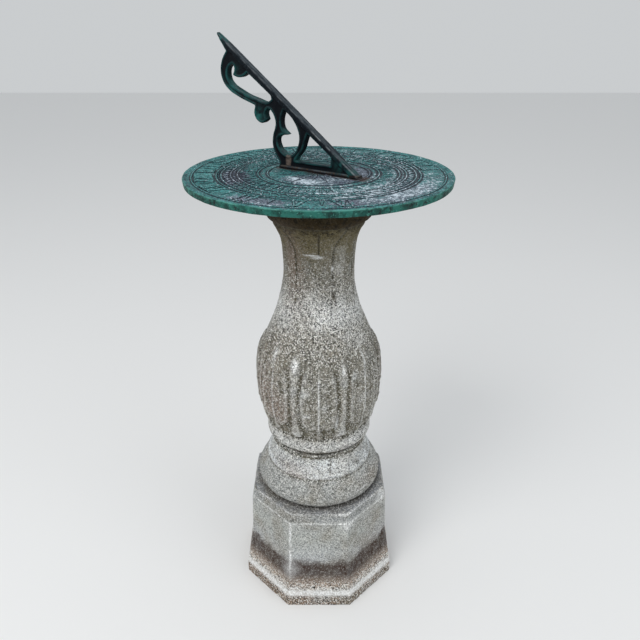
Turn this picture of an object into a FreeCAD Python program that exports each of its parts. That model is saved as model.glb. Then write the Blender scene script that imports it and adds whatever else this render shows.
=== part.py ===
import FreeCAD, Part
import math
import os
import Sketcher
from FreeCAD import Vector

# Garden sundial: a bronze dial on a cast-stone baluster pedestal.
# Millimetres, +Z up, origin on the ground under the middle of the pedestal.
# The pedestal's plinth faces look along +-X, +-Y and the diagonals.

doc = FreeCAD.newDocument("garden_sundial")

# ---------------------------------------------------------------- driving dimensions
DIMENSIONS = [
    # plinth (octagonal, half widths across flats)
    ("slab_half", 105.0), ("slab_top", 21.0), ("cove_foot_half", 103.2), ("cove_foot_level", 24.5),
    ("cove_top_half", 95.5), ("cove_top_level", 80.0), ("die_top_half", 93.2), ("die_top_level", 140.0),
    ("plinth_top_half", 89.5), ("plinth_top", 155.0),
    # round base
    ("lower_mortar_radius", 73.5), ("upper_mortar_radius", 61.0),
    ("base_low", 156.5), ("base_foot_radius", 74.5), ("base_belly_radius", 85.2), ("base_belly_level", 171.0),
    ("base_neck_radius", 64.2), ("base_neck_level", 224.5), ("base_top", 231.0), ("base_top_radius", 61.8),
    # baluster shaft
    ("shaft_low", 232.5), ("collar_radius", 70.2), ("bulb_radius", 77.4), ("neck_radius", 42.9),
    ("cap_radius", 65.0), ("cap_foot_level", 531.5), ("shaft_top", 573.2), ("flute_depth", 1.3),
    ("leaf_count", 8),
    # core rod through the stones
    ("core_radius", 12.0), ("rod_radius", 6.0), ("core_low", 96.0), ("core_high", 304.0),
    # pivot
    ("recess_radius", 22.0), ("recess_floor", 555.0), ("sleeve_hole_radius", 15.0),
    ("sleeve_hole_floor", 497.0), ("sleeve_radius", 12.0), ("sleeve_bore", 8.05), ("sleeve_low", 500.0),
    ("stud_radius", 8.0), ("stud_low", 505.0), ("stud_shank_radius", 6.0), ("stud_top", 577.0),
    ("boss_radius", 18.0), ("boss_low", 561.0), ("boss_bore_top", 577.5),
    ("washer_inner", 26.0), ("washer_outer", 60.0),
    # dial plate
    ("dial_radius", 152.4), ("dial_foot_radius", 150.0), ("dial_top", 583.4), ("dial_low", 575.2),
    ("relief", 0.8), ("rim_inner", 147.0), ("ring_width", 1.5), ("hollow_depth", 2.5),
    ("hollow_inner", 74.0), ("hollow_outer", 145.0),
    # gnomon
    ("gnomon_bearing", 146.6), ("latitude", 36.5), ("style_width", 11.5), ("style_depth", 5.4),
    ("style_rise", 40.9), ("style_reach", 136.7), ("web_thick", 10.0), ("foot_width", 11.5),
    ("foot_north", 52.0), ("foot_south", -54.0), ("foot_height", 3.0), ("screw_north", 42.0),
    ("screw_south", -38.0), ("screw_radius", 2.0), ("screw_clear_radius", 2.25),
    ("screw_head_radius", 4.0), ("screw_grip", 9.0), ("screw_slot_width", 1.0), ("screw_slot_depth", 0.9),
]
RING_RADII = [58.0, 68.5, 91.4, 99.0, 109.7, 115.0, 142.5]
RING_SLOPE = 0.4
# numerals and hour marks run from 4 in the morning to 8 in the evening
FIRST_HOUR, NOON, LAST_HOUR = 4, 12, 20
SUN_DEGREES_PER_HOUR = 15.0

sheet = doc.addObject("Spreadsheet::Sheet", "dims")
for row, (alias, number) in enumerate(DIMENSIONS, start=1):
    sheet.set("A%d" % row, alias)
    sheet.set("B%d" % row, "%g" % number)
    sheet.setAlias("B%d" % row, alias)
doc.recompute()


def size(value):
    """Number for a plain number, an alias, or an (alias, offset) pair."""
    if isinstance(value, str):
        return float(getattr(sheet, value))
    if isinstance(value, tuple):
        return float(getattr(sheet, value[0])) + value[1]
    return float(value)


def expression(value):
    """Expression for an alias or an (alias, offset) pair; None for a plain number."""
    if isinstance(value, str):
        return "dims.%s" % value
    if isinstance(value, tuple):
        return "dims.%s + (%g)" % value
    return None


# ---------------------------------------------------------------- sketch and body helpers
def origin_plane(body, role):
    for feature in body.Origin.OriginFeatures:
        if feature.Role == role:
            return feature
    raise ValueError("no origin plane " + role)


def new_body(label):
    body = doc.addObject("PartDesign::Body", label)
    body.Label = label
    return body


def new_sketch(body, name, role):
    sketch = body.newObject("Sketcher::SketchObject", name)
    sketch.AttachmentSupport = [(origin_plane(body, role), "")]
    sketch.MapMode = "FlatFace"
    return sketch


def pin_point(sketch, geometry, end, point):
    """Fix one end of a sketch edge at a point whose coordinates may be bound to the sheet."""
    for kind, value, axis in (("DistanceX", point[0], -2), ("DistanceY", point[1], -1)):
        number = size(value)
        if abs(number) < 1e-9:
            sketch.addConstraint(Sketcher.Constraint("PointOnObject", geometry, end, axis))
            continue
        index = sketch.addConstraint(Sketcher.Constraint(kind, -1, 1, geometry, end, number))
        bound = expression(value)
        if bound:
            sketch.setExpression("Constraints[%d]" % index, bound)


def flat(point):
    return Vector(size(point[0]), size(point[1]), 0)


def draw_loop(sketch, start, segments):
    """Draw a closed loop of lines, arcs and splines, with its corners fixed.

    A segment is (end,) for a line, (end, middle) for an arc through one middle point, and
    (end, [points]) for a smooth curve through the points.
    """
    corner = start
    edges = []
    for segment in segments:
        end = segment[0]
        first, last = flat(corner), flat(end)
        if len(segment) == 1:
            curve = Part.LineSegment(first, last)
        elif isinstance(segment[1], list):
            curve = Part.BSplineCurve()
            curve.interpolate([first] + [flat(p) for p in segment[1]] + [last])
        else:
            curve = Part.Arc(first, flat(segment[1]), last)
        edges.append((sketch.addGeometry(curve, False), end))
        corner = end
    for index, (geometry, end) in enumerate(edges):
        following = edges[(index + 1) % len(edges)][0]
        own_end = nearest_end(sketch, geometry, flat(end))
        next_start = nearest_end(sketch, following, flat(end))
        sketch.addConstraint(Sketcher.Constraint("Coincident", geometry, own_end, following, next_start))
    for geometry, end in edges:
        pin_point(sketch, geometry, nearest_end(sketch, geometry, flat(end)), end)


def nearest_end(sketch, geometry, point):
    """1 or 2, for the edge's first or last point. An arc may run the other way from its segment."""
    first = sketch.getPoint(geometry, 1)
    last = sketch.getPoint(geometry, 2)
    return 1 if first.distanceToPoint(point) < last.distanceToPoint(point) else 2


def draw_circle(sketch, radius, centre=(0, 0)):
    circle = Part.Circle(flat(centre), Vector(0, 0, 1), size(radius))
    geometry = sketch.addGeometry(circle, False)
    index = sketch.addConstraint(Sketcher.Constraint("Radius", geometry, size(radius)))
    if expression(radius):
        sketch.setExpression("Constraints[%d]" % index, expression(radius))
    pin_point(sketch, geometry, 3, centre)


def bind(thing, name, value):
    bound = expression(value)
    if bound:
        thing.setExpression(name, bound)


def revolved_body(label, start, segments):
    """Body of revolution about Z from a half profile in the XZ plane."""
    body = new_body(label)
    sketch = new_sketch(body, label + "_profile", "XZ_Plane")
    draw_loop(sketch, start, segments)
    turn = body.newObject("PartDesign::Revolution", label + "_turned")
    turn.Profile = sketch
    turn.ReferenceAxis = (sketch, ["V_Axis"])
    turn.Angle = 360.0
    return body


def tube_body(label, outer, inner, low, high):
    """Plain disc, ring or tube between two levels."""
    body = new_body(label)
    sketch = new_sketch(body, label + "_section", "XY_Plane")
    draw_circle(sketch, outer)
    if inner is not None:
        draw_circle(sketch, inner)
    pad = body.newObject("PartDesign::Pad", label + "_pad")
    pad.Profile = sketch
    pad.setExpression("Length", "(%s) - (%s)" % (expression(high), expression(low)))
    body.setExpression("Placement.Base.z", expression(low))
    return body


def cylinder(name, radius, low, high, place=(0.0, 0.0)):
    tool = doc.addObject("Part::Cylinder", name)
    tool.setExpression("Radius", expression(radius))
    tool.setExpression("Height", "(%s) - (%s)" % (expression(high), expression(low)))
    tool.Placement.Base = Vector(place[0], place[1], 0)
    tool.setExpression("Placement.Base.z", expression(low))
    return tool


def combine(kind, label, base, tool):
    """Part::Cut, Part::Fuse or Part::Common of two objects."""
    result = doc.addObject("Part::" + kind, label)
    result.Base = base
    result.Tool = tool
    result.Label = label
    return result


def code_shape(label, shape):
    feature = doc.addObject("Part::Feature", label)
    feature.Shape = shape
    return feature


# ---------------------------------------------------------------- plinth
def make_plinth():
    """Octagonal block: what four copies of one extruded profile, turned 45 degrees apart, share."""
    cove = [(101.6, 40.0), (98.6, 56.0)]
    corners = [("slab_half", "slab_top"), ("cove_foot_half", "cove_foot_level"),
               ("cove_top_half", "cove_top_level"), ("die_top_half", "die_top_level"),
               ("plinth_top_half", "plinth_top")]
    slab, cove_foot, cove_top, die_top, plinth_top = corners
    outline = [
        (slab,),
        (cove_foot,),
        (cove_top, cove),
        (die_top,),
        (plinth_top,),
        (mirrored(plinth_top),),
        (mirrored(die_top),),
        (mirrored(cove_top),),
        (mirrored(cove_foot), [mirrored(point) for point in reversed(cove)]),
        (mirrored(slab),),
        ((-size("slab_half"), 0.0),),
        (("slab_half", 0.0),),
    ]
    slices = []
    for turn in range(4):
        sketch = doc.addObject("Sketcher::SketchObject", "plinth_profile_%d" % turn)
        sketch.Placement = FreeCAD.Placement(Vector(0, 0, 0), FreeCAD.Rotation(Vector(1, 0, 0), 90))
        draw_loop(sketch, ("slab_half", 0.0), outline)
        block = doc.addObject("Part::Extrusion", "plinth_slice_%d" % turn)
        block.Base = sketch
        block.DirMode = "Normal"
        block.Solid = True
        block.Symmetric = True
        block.setExpression("LengthFwd", "dims.slab_half * 2.4")
        turned = FreeCAD.Rotation(Vector(0, 0, 1), 45.0 * turn)
        block.Placement = FreeCAD.Placement(Vector(0, 0, 0), turned)
        slices.append(block)
    octagon = doc.addObject("Part::MultiCommon", "plinth_octagon")
    octagon.Shapes = slices
    return combine("Cut", "plinth_block", octagon,
                   cylinder("plinth_core_hole", "core_radius", "core_low", ("plinth_top", 5.0)))


def mirrored(point):
    """The same point on the other side of the Z axis, as plain numbers."""
    return (-size(point[0]), size(point[1]))


# ---------------------------------------------------------------- round base and mortar
def make_base_ring():
    flank = [(82.6, 178.5), (76.6, 188.0), (71.2, 198.5), (67.4, 209.5), (65.2, 219.0)]
    return revolved_body("base_ring", ("core_radius", "base_low"), [
        (("base_foot_radius", "base_low"),),
        (("base_belly_radius", "base_belly_level"), (83.0, 161.6)),
        (("base_neck_radius", "base_neck_level"), flank),
        ((63.4, 227.0), (63.2, 225.8)),
        (("base_top_radius", "base_top"), (64.8, 229.0)),
        (("core_radius", "base_top"),),
        (("core_radius", "base_low"),),
    ])


# ---------------------------------------------------------------- baluster shaft
SHAFT_CURVE = [(71.4, 270.0), (75.6, 290.0), ("bulb_radius", 315.0), (76.3, 342.0), (73.2, 366.0),
               (65.0, 387.0), (55.2, 411.0), (47.9, 435.5), (43.9, 457.0), ("neck_radius", 474.0),
               (44.4, 496.0), (48.0, 514.5)]
SHAFT_CURVE_START = (67.8, 258.2)
SHAFT_CURVE_END = (55.0, 526.5)
# heights between which the neck's long grooves run
FLUTE_LOW, FLUTE_HIGH = 437.0, 521.0
LEAF_ROOT_DEPTH = 1.6
# the surface that the leaves' faces lie on
LEAF_FACE = [(70.2, 256.5), (74.8, 270.0), (80.2, 288.0), (82.5, 316.0), (81.0, 344.0), (77.4, 362.0),
             (72.0, 375.0), (66.0, 386.0)]


def make_shaft():
    core = revolved_body("shaft_core", ("core_radius", "shaft_low"), [
        ((61.8, "shaft_low"),),
        ((66.4, 236.6), (63.4, 235.2)),
        (("collar_radius", 243.5), (69.4, 239.4)),
        (("collar_radius", 252.5),),
        (SHAFT_CURVE_START, (69.6, 256.4)),
        (SHAFT_CURVE_END, SHAFT_CURVE),
        ((57.4, "cap_foot_level"),),
        (("cap_radius", 545.0), (63.4, 538.0)),
        (("cap_radius", 564.0),),
        ((60.8, "shaft_top"), (63.8, 570.6)),
        (("recess_radius", "shaft_top"),),
        (("recess_radius", "recess_floor"),),
        (("sleeve_hole_radius", "recess_floor"),),
        (("sleeve_hole_radius", "sleeve_hole_floor"),),
        ((0.0, "sleeve_hole_floor"),),
        ((0.0, "core_high"),),
        (("core_radius", "core_high"),),
        (("core_radius", "shaft_low"),),
    ])
    leaf_root = [(size(r) - LEAF_ROOT_DEPTH, z) for r, z in SHAFT_CURVE if z < 380.0]
    leaf_skin = revolved_body("leaf_skin", (65.5, 256.5), [
        (LEAF_FACE[0],),
        (LEAF_FACE[-1], LEAF_FACE[1:-1]),
        ((63.4, 386.0),),
        ((65.5, 256.5), list(reversed(leaf_root))),
    ])
    leaves = relief_pieces("leaf_relief", leaf_skin, leaf_prisms())
    carved = combine("Fuse", "shaft_with_leaves", core, leaves)
    depth = size("flute_depth")
    neck_curve = [(size(r) - depth, z) for r, z in SHAFT_CURVE if z > FLUTE_LOW]
    flute_ring = revolved_body("flute_ring", ("bulb_radius", FLUTE_LOW), [
        ((47.6 - depth, FLUTE_LOW),),
        ((49.9, FLUTE_HIGH), neck_curve),
        (("bulb_radius", FLUTE_HIGH),),
        (("bulb_radius", FLUTE_LOW),),
    ])
    flutes = relief_pieces("flute_relief", flute_ring, flute_prisms())
    return combine("Cut", "baluster_shaft", carved, flutes)


def relief_pieces(label, skin, prisms):
    """The part of a turned skin inside each prism, as separate solids of one feature."""
    doc.recompute()
    return code_shape(label, Part.makeCompound([skin.Shape.common(prism) for prism in prisms]))


def outline_face(start, segments):
    """Face in the XZ plane from a loop given as in draw_loop, with plain numbers."""
    edges = []
    corner = start
    for segment in segments:
        points = [corner, segment[0]]
        if len(segment) == 1:
            edges.append(Part.LineSegment(upright(points[0]), upright(points[1])).toShape())
        elif isinstance(segment[1], list):
            curve = Part.BSplineCurve()
            curve.interpolate([upright(p) for p in [corner] + segment[1] + [segment[0]]])
            edges.append(curve.toShape())
        else:
            edges.append(Part.Arc(upright(corner), upright(segment[1]), upright(segment[0])).toShape())
        corner = segment[0]
    return Part.Face(Part.Wire(edges))


def upright(point):
    return Vector(point[0], 0, point[1])


def radial_prism(face, azimuth, near, far):
    """Push a flat outline outward from one radius to another, at one azimuth about Z."""
    moved = face.copy()
    moved.translate(Vector(0, -near, 0))
    prism = moved.extrude(Vector(0, near - far, 0))
    prism.rotate(Vector(0, 0, 0), Vector(0, 0, 1), azimuth)
    return prism


def leaf_prisms():
    """Eight broad two-lobed leaves on stems, and eight narrow tongues between them."""
    broad = outline_face((-2.0, 257.0), [
        ((2.0, 257.0),),
        ((2.0, 284.5),),
        ((21.4, 297.0), [(8.5, 279.8), (17.0, 284.0)]),
        ((0.0, 375.0), [(22.2, 316.0), (19.0, 342.0), (10.0, 364.0)]),
        ((-21.4, 297.0), [(-10.0, 364.0), (-19.0, 342.0), (-22.2, 316.0)]),
        ((-2.0, 284.5), [(-17.0, 284.0), (-8.5, 279.8)]),
        ((-2.0, 257.0),),
    ])
    narrow = outline_face((-7.2, 270.0), [
        ((7.2, 270.0), (0.0, 262.2)),
        ((0.0, 380.0), [(4.8, 288.0), (5.6, 318.0), (9.0, 350.0), (7.0, 370.0)]),
        ((-7.2, 270.0), [(-7.0, 370.0), (-9.0, 350.0), (-5.6, 318.0), (-4.8, 288.0)]),
    ])
    count = int(size("leaf_count"))
    step = 360.0 / count
    prisms = []
    for index in range(count):
        prisms.append(radial_prism(broad, index * step, 50.0, 100.0))
        prisms.append(radial_prism(narrow, (index + 0.5) * step, 50.0, 100.0))
    return prisms


def flute_prisms():
    """Eight long grooves between the neck's panels."""
    long_groove = outline_face((-2.2, 442.0), [
        ((2.2, 442.0), (0.0, 439.0)),
        ((1.4, 520.0),),
        ((-1.4, 520.0),),
        ((-2.2, 442.0),),
    ])
    count = int(size("leaf_count"))
    step = 360.0 / count
    return [radial_prism(long_groove, (index + 0.5) * step, 30.0, 75.0) for index in range(count)]


# ---------------------------------------------------------------- dial plate
def make_dial_plate():
    low = "dial_low"
    floor = ("dial_top", -size("relief"))
    segments = [
        (("hollow_inner", low),),
        ((("hollow_inner", 2.0), (low, size("hollow_depth"))),),
        (("hollow_outer", (low, size("hollow_depth"))),),
        ((("hollow_outer", 1.5), low),),
        (("dial_foot_radius", low),),
        ((("dial_radius", -0.8), (low, 1.2)), (151.2, 575.4)),
        (("dial_radius", ("dial_top", -1.2)),),
        ((("dial_radius", -1.0), "dial_top"), (152.15, 583.15)),
        ((("rim_inner", 0.6), "dial_top"),),
        (("rim_inner", floor),),
    ]
    for radius in reversed(RING_RADII):
        half = size("ring_width") / 2.0
        segments += [
            ((radius + half, floor),),
            ((radius + half - RING_SLOPE, "dial_top"),),
            ((radius - half + RING_SLOPE, "dial_top"),),
            ((radius - half, floor),),
        ]
    segments += [
        ((0.0, floor),),
        ((0.0, "boss_bore_top"),),
        (("stud_shank_radius", "boss_bore_top"),),
        (("stud_shank_radius", "boss_low"),),
        ((("boss_radius", -1.0), "boss_low"),),
        (("boss_radius", ("boss_low", 1.0)),),
        (("boss_radius", (low, -1.0)),),
        ((size("boss_radius") + 1.0, low), (size("boss_radius") + 0.3, size(low) - 0.3)),
    ]
    blank = revolved_body("dial_blank", (size("boss_radius") + 1.0, low), segments)
    marked = combine("Fuse", "dial_marked", blank, code_shape("hour_marks", hour_marks()))
    tools = doc.addObject("Part::MultiFuse", "dial_screw_holes")
    tools.Shapes = screw_hole_tools()
    return combine("Cut", "dial_plate", marked, tools)


def gnomon_place(distance):
    """Point on the plan at a distance from the dial's centre, along the gnomon's bearing."""
    bearing = math.radians(size("gnomon_bearing"))
    return (distance * math.cos(bearing), distance * math.sin(bearing))


def hour_angle_on_dial(hour):
    """Angle of an hour line from the noon line, clockwise seen from above, in degrees."""
    sun = math.radians(SUN_DEGREES_PER_HOUR * (hour - NOON))
    lean = math.sin(math.radians(size("latitude")))
    return math.degrees(math.atan2(lean * math.sin(sun), math.cos(sun)))


def hour_marks():
    """Raised bar at each hour, across the narrow band inside the numerals."""
    inner, outer = RING_RADII[4], RING_RADII[5]
    sunk = 0.5
    low = size("dial_top") - size("relief") - sunk
    bars = []
    for hour in range(FIRST_HOUR, LAST_HOUR + 1):
        width = 3.0 if hour == NOON else 2.0
        corner = Vector(inner, -width / 2.0, low)
        bar = Part.makeBox(outer - inner, width, size("relief") + sunk, corner)
        bar.rotate(Vector(0, 0, 0), Vector(0, 0, 1), size("gnomon_bearing") - hour_angle_on_dial(hour))
        bars.append(bar)
    return Part.makeCompound(bars)


def screw_hole_tools():
    tools = []
    for side in ("screw_north", "screw_south"):
        place = gnomon_place(size(side))
        tools.append(cylinder("dial_clearance_" + side, "screw_clear_radius", ("dial_low", -1.0),
                              ("dial_top", 1.0), place))
        sink = doc.addObject("Part::Cone", "dial_countersink_" + side)
        sink.setExpression("Radius1", "dims.screw_head_radius")
        sink.setExpression("Radius2", "dims.screw_radius")
        sink.setExpression("Height", "dims.screw_head_radius - dims.screw_radius")
        sink.Placement.Base = Vector(place[0], place[1], 0)
        sink.setExpression("Placement.Base.z", "dims.dial_low")
        tools.append(sink)
    return tools


# ---------------------------------------------------------------- gnomon
def style_line(along):
    """Height of the style's upper edge over the plate at a distance along the gnomon."""
    return size("style_rise") + along * math.tan(math.radians(size("latitude")))


def make_gnomon():
    """Pierced web, wider style bar along its upper edge, and a foot, drawn in one upright plane."""
    tip = (size("style_reach"), style_line(size("style_reach")))
    slope = math.tan(math.radians(size("latitude")))
    # the style line reaches the plate here
    toe = (-size("style_rise") / slope, 0.0)
    body = new_body("gnomon")
    web = new_sketch(body, "web_outline", "XZ_Plane")
    draw_loop(web, toe, [
        (("foot_north", 0.0),),
        ((52.4, 8.0), (51.6, 4.0)),
        ((59.9, 38.4), [(58.2, 15.6), (61.6, 28.0)]),
        ((67.8, 52.6), [(56.4, 48.6), (58.6, 58.0), (66.2, 64.4), (70.0, 58.6)]),
        ((85.3, 65.6), [(75.6, 48.2), (83.8, 51.4), (87.0, 58.6)]),
        ((85.6, 67.2),),
        ((124.4, 123.0), [(112.0, 76.4), (127.6, 85.2), (134.5, 100.8), (129.2, 116.9)]),
        (tip,),
        (toe,),
    ])
    # opening inside the upper scroll, with the volute hanging into it
    draw_loop(web, (60.9, 75.0), [
        ((62.5, style_line(62.5) - 6.9),),
        ((93.8, 102.2),),
        ((115.6, 98.0), [(101.0, 97.2), (108.8, 96.0)]),
        ((115.6, 110.2), [(113.2, 102.4), (113.3, 107.6)]),
        ((60.9, 75.0), [(121.6, 106.2), (124.1, 97.3), (121.3, 90.4), (109.3, 82.8), (94.0, 76.7),
                        (78.8, 72.9), (66.4, 71.4)]),
    ])
    # opening inside the lower scroll, with its thorn
    draw_loop(web, (43.6, 63.6), [
        ((40.0, 38.4), [(48.4, 53.1), (46.8, 44.2)]),
        ((43.6, 63.6), [(48.4, 36.7), (53.6, 33.3), (54.2, 28.7), (51.0, 21.2), (43.4, 15.8), (34.0, 16.4),
                        (27.4, 23.4), (24.2, 36.9), (27.2, 47.4), (36.8, 59.4)]),
    ])
    # triangular opening over the foot
    draw_loop(web, (11.4, 40.8), [
        ((29.6, 10.2), [(16.4, 31.8), (20.1, 22.6), (26.2, 15.2)]),
        ((-18.4, 10.2),),
        ((-19.0, style_line(-19.0) - 7.1),),
        ((11.4, 40.8),),
    ])
    pad_across(body, web, "web", "web_thick")

    bar = new_sketch(body, "style_outline", "XZ_Plane")
    drop = size("style_depth") / math.cos(math.radians(size("latitude")))
    # the bar tapers to its tip from here
    taper = size("style_reach") - 11.7
    draw_loop(bar, toe, [
        ((toe[0] + drop / slope, 0.0),),
        ((taper, style_line(taper) - drop),),
        (tip,),
        (toe,),
    ])
    pad_across(body, bar, "style_bar", "style_width")

    foot = new_sketch(body, "foot_outline", "XZ_Plane")
    draw_loop(foot, ("foot_south", 0.0), [
        (("foot_north", 0.0),),
        (("foot_north", "foot_height"),),
        (("foot_south", "foot_height"),),
        (("foot_south", 0.0),),
    ])
    foot_pad = pad_across(body, foot, "foot", "foot_width")

    holes = new_sketch(body, "screw_holes", "XY_Plane")
    for side in ("screw_north", "screw_south"):
        draw_circle(holes, "screw_radius", (side, 0))
    drilled = body.newObject("PartDesign::Pocket", "tapped_holes")
    drilled.Profile = holes
    drilled.Reversed = True
    drilled.setExpression("Length", "dims.screw_grip + 0.5")
    before = foot_pad.Shape.Volume
    doc.recompute()
    if drilled.Shape.Volume >= before:
        raise RuntimeError("the gnomon's screw holes cut nothing")
    body.setExpression("Placement.Base.z", "dims.dial_top - dims.relief")
    body.setExpression("Placement.Rotation.Angle", "dims.gnomon_bearing")
    return body


def pad_across(body, sketch, name, width):
    """Pad an upright outline equally to both sides of the gnomon's middle plane."""
    pad = body.newObject("PartDesign::Pad", name)
    pad.Profile = sketch
    pad.Midplane = True
    pad.setExpression("Length", "dims." + width)
    doc.recompute()
    return pad


def make_gnomon_screws():
    """Two countersunk screws, one node of separate solids."""
    screws = []
    for side in ("screw_north", "screw_south"):
        place = gnomon_place(size(side))
        base = Vector(place[0], place[1], size("dial_low"))
        radius, head = size("screw_radius"), size("screw_head_radius")
        length = size("dial_top") - size("relief") - size("dial_low") + size("screw_grip")
        cone = Part.makeCone(head, radius, head - radius, base)
        shank = Part.makeCylinder(radius, length, base)
        width, reach = size("screw_slot_width"), head + 1.0
        corner = base + Vector(-reach, -width / 2.0, 0)
        slot = Part.makeBox(2 * reach, width, size("screw_slot_depth"), corner)
        screws.append(cone.fuse(shank).cut(slot).removeSplitter())
    feature = code_shape("gnomon_screws", Part.makeCompound(screws))
    feature.Label = "gnomon_screws"
    return feature


# ---------------------------------------------------------------- pivot parts
def make_stud():
    return revolved_body("pivot_stud", (0.0, "stud_low"), [
        ((("stud_radius", -1.5), "stud_low"),),
        (("stud_radius", ("stud_low", 1.5)),),
        (("stud_radius", "boss_low"),),
        (("stud_shank_radius", "boss_low"),),
        (("stud_shank_radius", ("stud_top", -1.0)),),
        ((("stud_shank_radius", -1.0), "stud_top"),),
        ((0.0, "stud_top"),),
        ((0.0, "stud_low"),),
    ])


# ---------------------------------------------------------------- assembly
parts = [
    make_plinth(),
    tube_body("lower_mortar_bed", "lower_mortar_radius", "core_radius", "plinth_top", "base_low"),
    make_base_ring(),
    tube_body("upper_mortar_bed", "upper_mortar_radius", "core_radius", "base_top", "shaft_low"),
    make_shaft(),
    tube_body("core_rod", "rod_radius", None, ("core_low", 4.0), ("core_high", -4.0)),
    tube_body("core_grout", "core_radius", "rod_radius", ("core_low", 4.0), ("core_high", -4.0)),
    tube_body("pivot_sleeve", "sleeve_radius", "sleeve_bore", "sleeve_low", "recess_floor"),
    tube_body("sleeve_grout", "sleeve_hole_radius", "sleeve_radius", "sleeve_low", "recess_floor"),
    tube_body("bedding_washer", "washer_outer", "washer_inner", "shaft_top", "dial_low"),
    make_dial_plate(),
    make_stud(),
    make_gnomon(),
    make_gnomon_screws(),
]
doc.recompute()

problems = []
for item in doc.Objects:
    if "Invalid" in item.State or "Error" in item.State:
        problems.append("%s is %s" % (item.Label, item.State))
for item in parts:
    if item.Shape.isNull() or not item.Shape.isValid():
        problems.append(item.Label + " has no valid shape")
    elif len(item.Shape.Solids) != (2 if item.Label == "gnomon_screws" else 1):
        problems.append("%s has %d solids" % (item.Label, len(item.Shape.Solids)))
if problems:
    raise RuntimeError("; ".join(problems))

os.makedirs("parts", exist_ok=True)
for item in parts:
    item.Shape.exportStep("parts/%s.step" % item.Label)
    box = item.Shape.BoundBox
    print("%-18s %10.1f mm3  x %.1f..%.1f  y %.1f..%.1f  z %.1f..%.1f" % (
        item.Label, item.Shape.Volume, box.XMin, box.XMax, box.YMin, box.YMax, box.ZMin, box.ZMax))
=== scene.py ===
import itertools
import math

import bpy
import numpy as np
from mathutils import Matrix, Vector
from mathutils.geometry import delaunay_2d_cdt


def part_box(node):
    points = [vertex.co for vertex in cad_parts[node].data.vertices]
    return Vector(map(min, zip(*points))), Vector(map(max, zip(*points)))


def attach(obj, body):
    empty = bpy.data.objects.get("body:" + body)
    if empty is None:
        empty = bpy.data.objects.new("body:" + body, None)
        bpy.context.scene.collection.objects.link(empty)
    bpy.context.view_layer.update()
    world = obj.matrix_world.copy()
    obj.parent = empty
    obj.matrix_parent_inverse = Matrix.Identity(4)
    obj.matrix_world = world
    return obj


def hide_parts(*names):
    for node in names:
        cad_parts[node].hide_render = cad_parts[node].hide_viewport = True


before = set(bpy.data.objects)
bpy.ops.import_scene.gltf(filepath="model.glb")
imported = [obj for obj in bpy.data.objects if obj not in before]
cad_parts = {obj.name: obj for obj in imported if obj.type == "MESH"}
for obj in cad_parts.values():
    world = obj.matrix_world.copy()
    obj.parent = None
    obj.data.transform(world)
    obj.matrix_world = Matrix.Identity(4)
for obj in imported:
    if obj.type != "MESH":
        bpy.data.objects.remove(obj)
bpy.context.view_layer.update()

# Garden sundial. Shapes below are worked out in millimetres and made in metres.
MM = 0.001


def top(node):
    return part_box(node)[1].z / MM


def bottom(node):
    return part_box(node)[0].z / MM


def reach(node):
    """Outer radius of a round node about the Z axis."""
    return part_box(node)[1].x / MM


DIAL_TOP = top("dial_plate")
DIAL_LOW = top("bedding_washer")
DIAL_RADIUS = reach("dial_plate")
PLATE_FLOOR = bottom("gnomon")
PLINTH_TOP = top("plinth_block")
PLINTH_HALF = reach("plinth_block")
SHAFT_LOW = top("upper_mortar_bed")
SHAFT_TOP = bottom("bedding_washer")
BASE_LOW = top("lower_mortar_bed")
BASE_TOP = bottom("upper_mortar_bed")
CORE_RADIUS = reach("core_grout")
CORE_TOP = top("core_rod") + 4.0
SLEEVE_RADIUS = reach("sleeve_grout")
SLEEVE_TOP = top("pivot_sleeve")
SLEEVE_LOW = bottom("pivot_sleeve") - 3.0
NORTH = math.radians(146.6)
LATITUDE = math.radians(36.5)
FULL_TURN = 2 * math.pi
LEAVES = 8


# ---------------------------------------------------------------- numbers and curves
# large odd numbers that scatter the bits of the noise's lattice
SCATTER = np.array([73856093, 19349663, 83492791])
SEED_STEP, OCTAVE_STEP = 265443577, 7919
STIR_ONE, STIR_TWO = 2246822519, 3266489917
WORD = 0xFFFFFFFF


def noise(points, seed, pitch, octaves=3):
    """Smooth value noise, about -1 to 1, at an (..., 3) array of points in mm."""
    total = np.zeros(points.shape[:-1])
    size, weight, norm = pitch, 1.0, 0.0
    for octave in range(octaves):
        place = points / size + 17.3 * octave
        cell = np.floor(place).astype(np.int64)
        part = place - cell
        part = part * part * (3 - 2 * part)
        for corner in itertools.product((0, 1), repeat=3):
            mix = np.bitwise_xor.reduce((cell + np.array(corner)) * SCATTER, -1)
            mix = (mix ^ (seed * SEED_STEP + octave * OCTAVE_STEP)) & WORD
            mix = ((mix ^ (mix >> 15)) * STIR_ONE) & WORD
            mix = ((mix ^ (mix >> 13)) * STIR_TWO) & WORD
            value = ((mix ^ (mix >> 16)) & 0xFFFF) / 32767.5 - 1.0
            share = np.prod(np.where(np.array(corner) == 1, part, 1 - part), axis=-1)
            total += weight * share * value
        norm += weight
        size, weight = size / 2.1, weight / 2
    return total / norm


def ramp(low, high, value):
    """0 at low, 1 at high, smooth between; low may be above high."""
    t = np.clip((value - low) / (high - low), 0.0, 1.0)
    return t * t * (3 - 2 * t)


def between(value, low, full_low, full_high, high):
    """1 from full_low to full_high, fading to 0 at low and at high."""
    return ramp(low, full_low, value) * ramp(high, full_high, value)


def bump(value, centre, width):
    return np.exp(-((value - centre) / width) ** 2)


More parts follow.
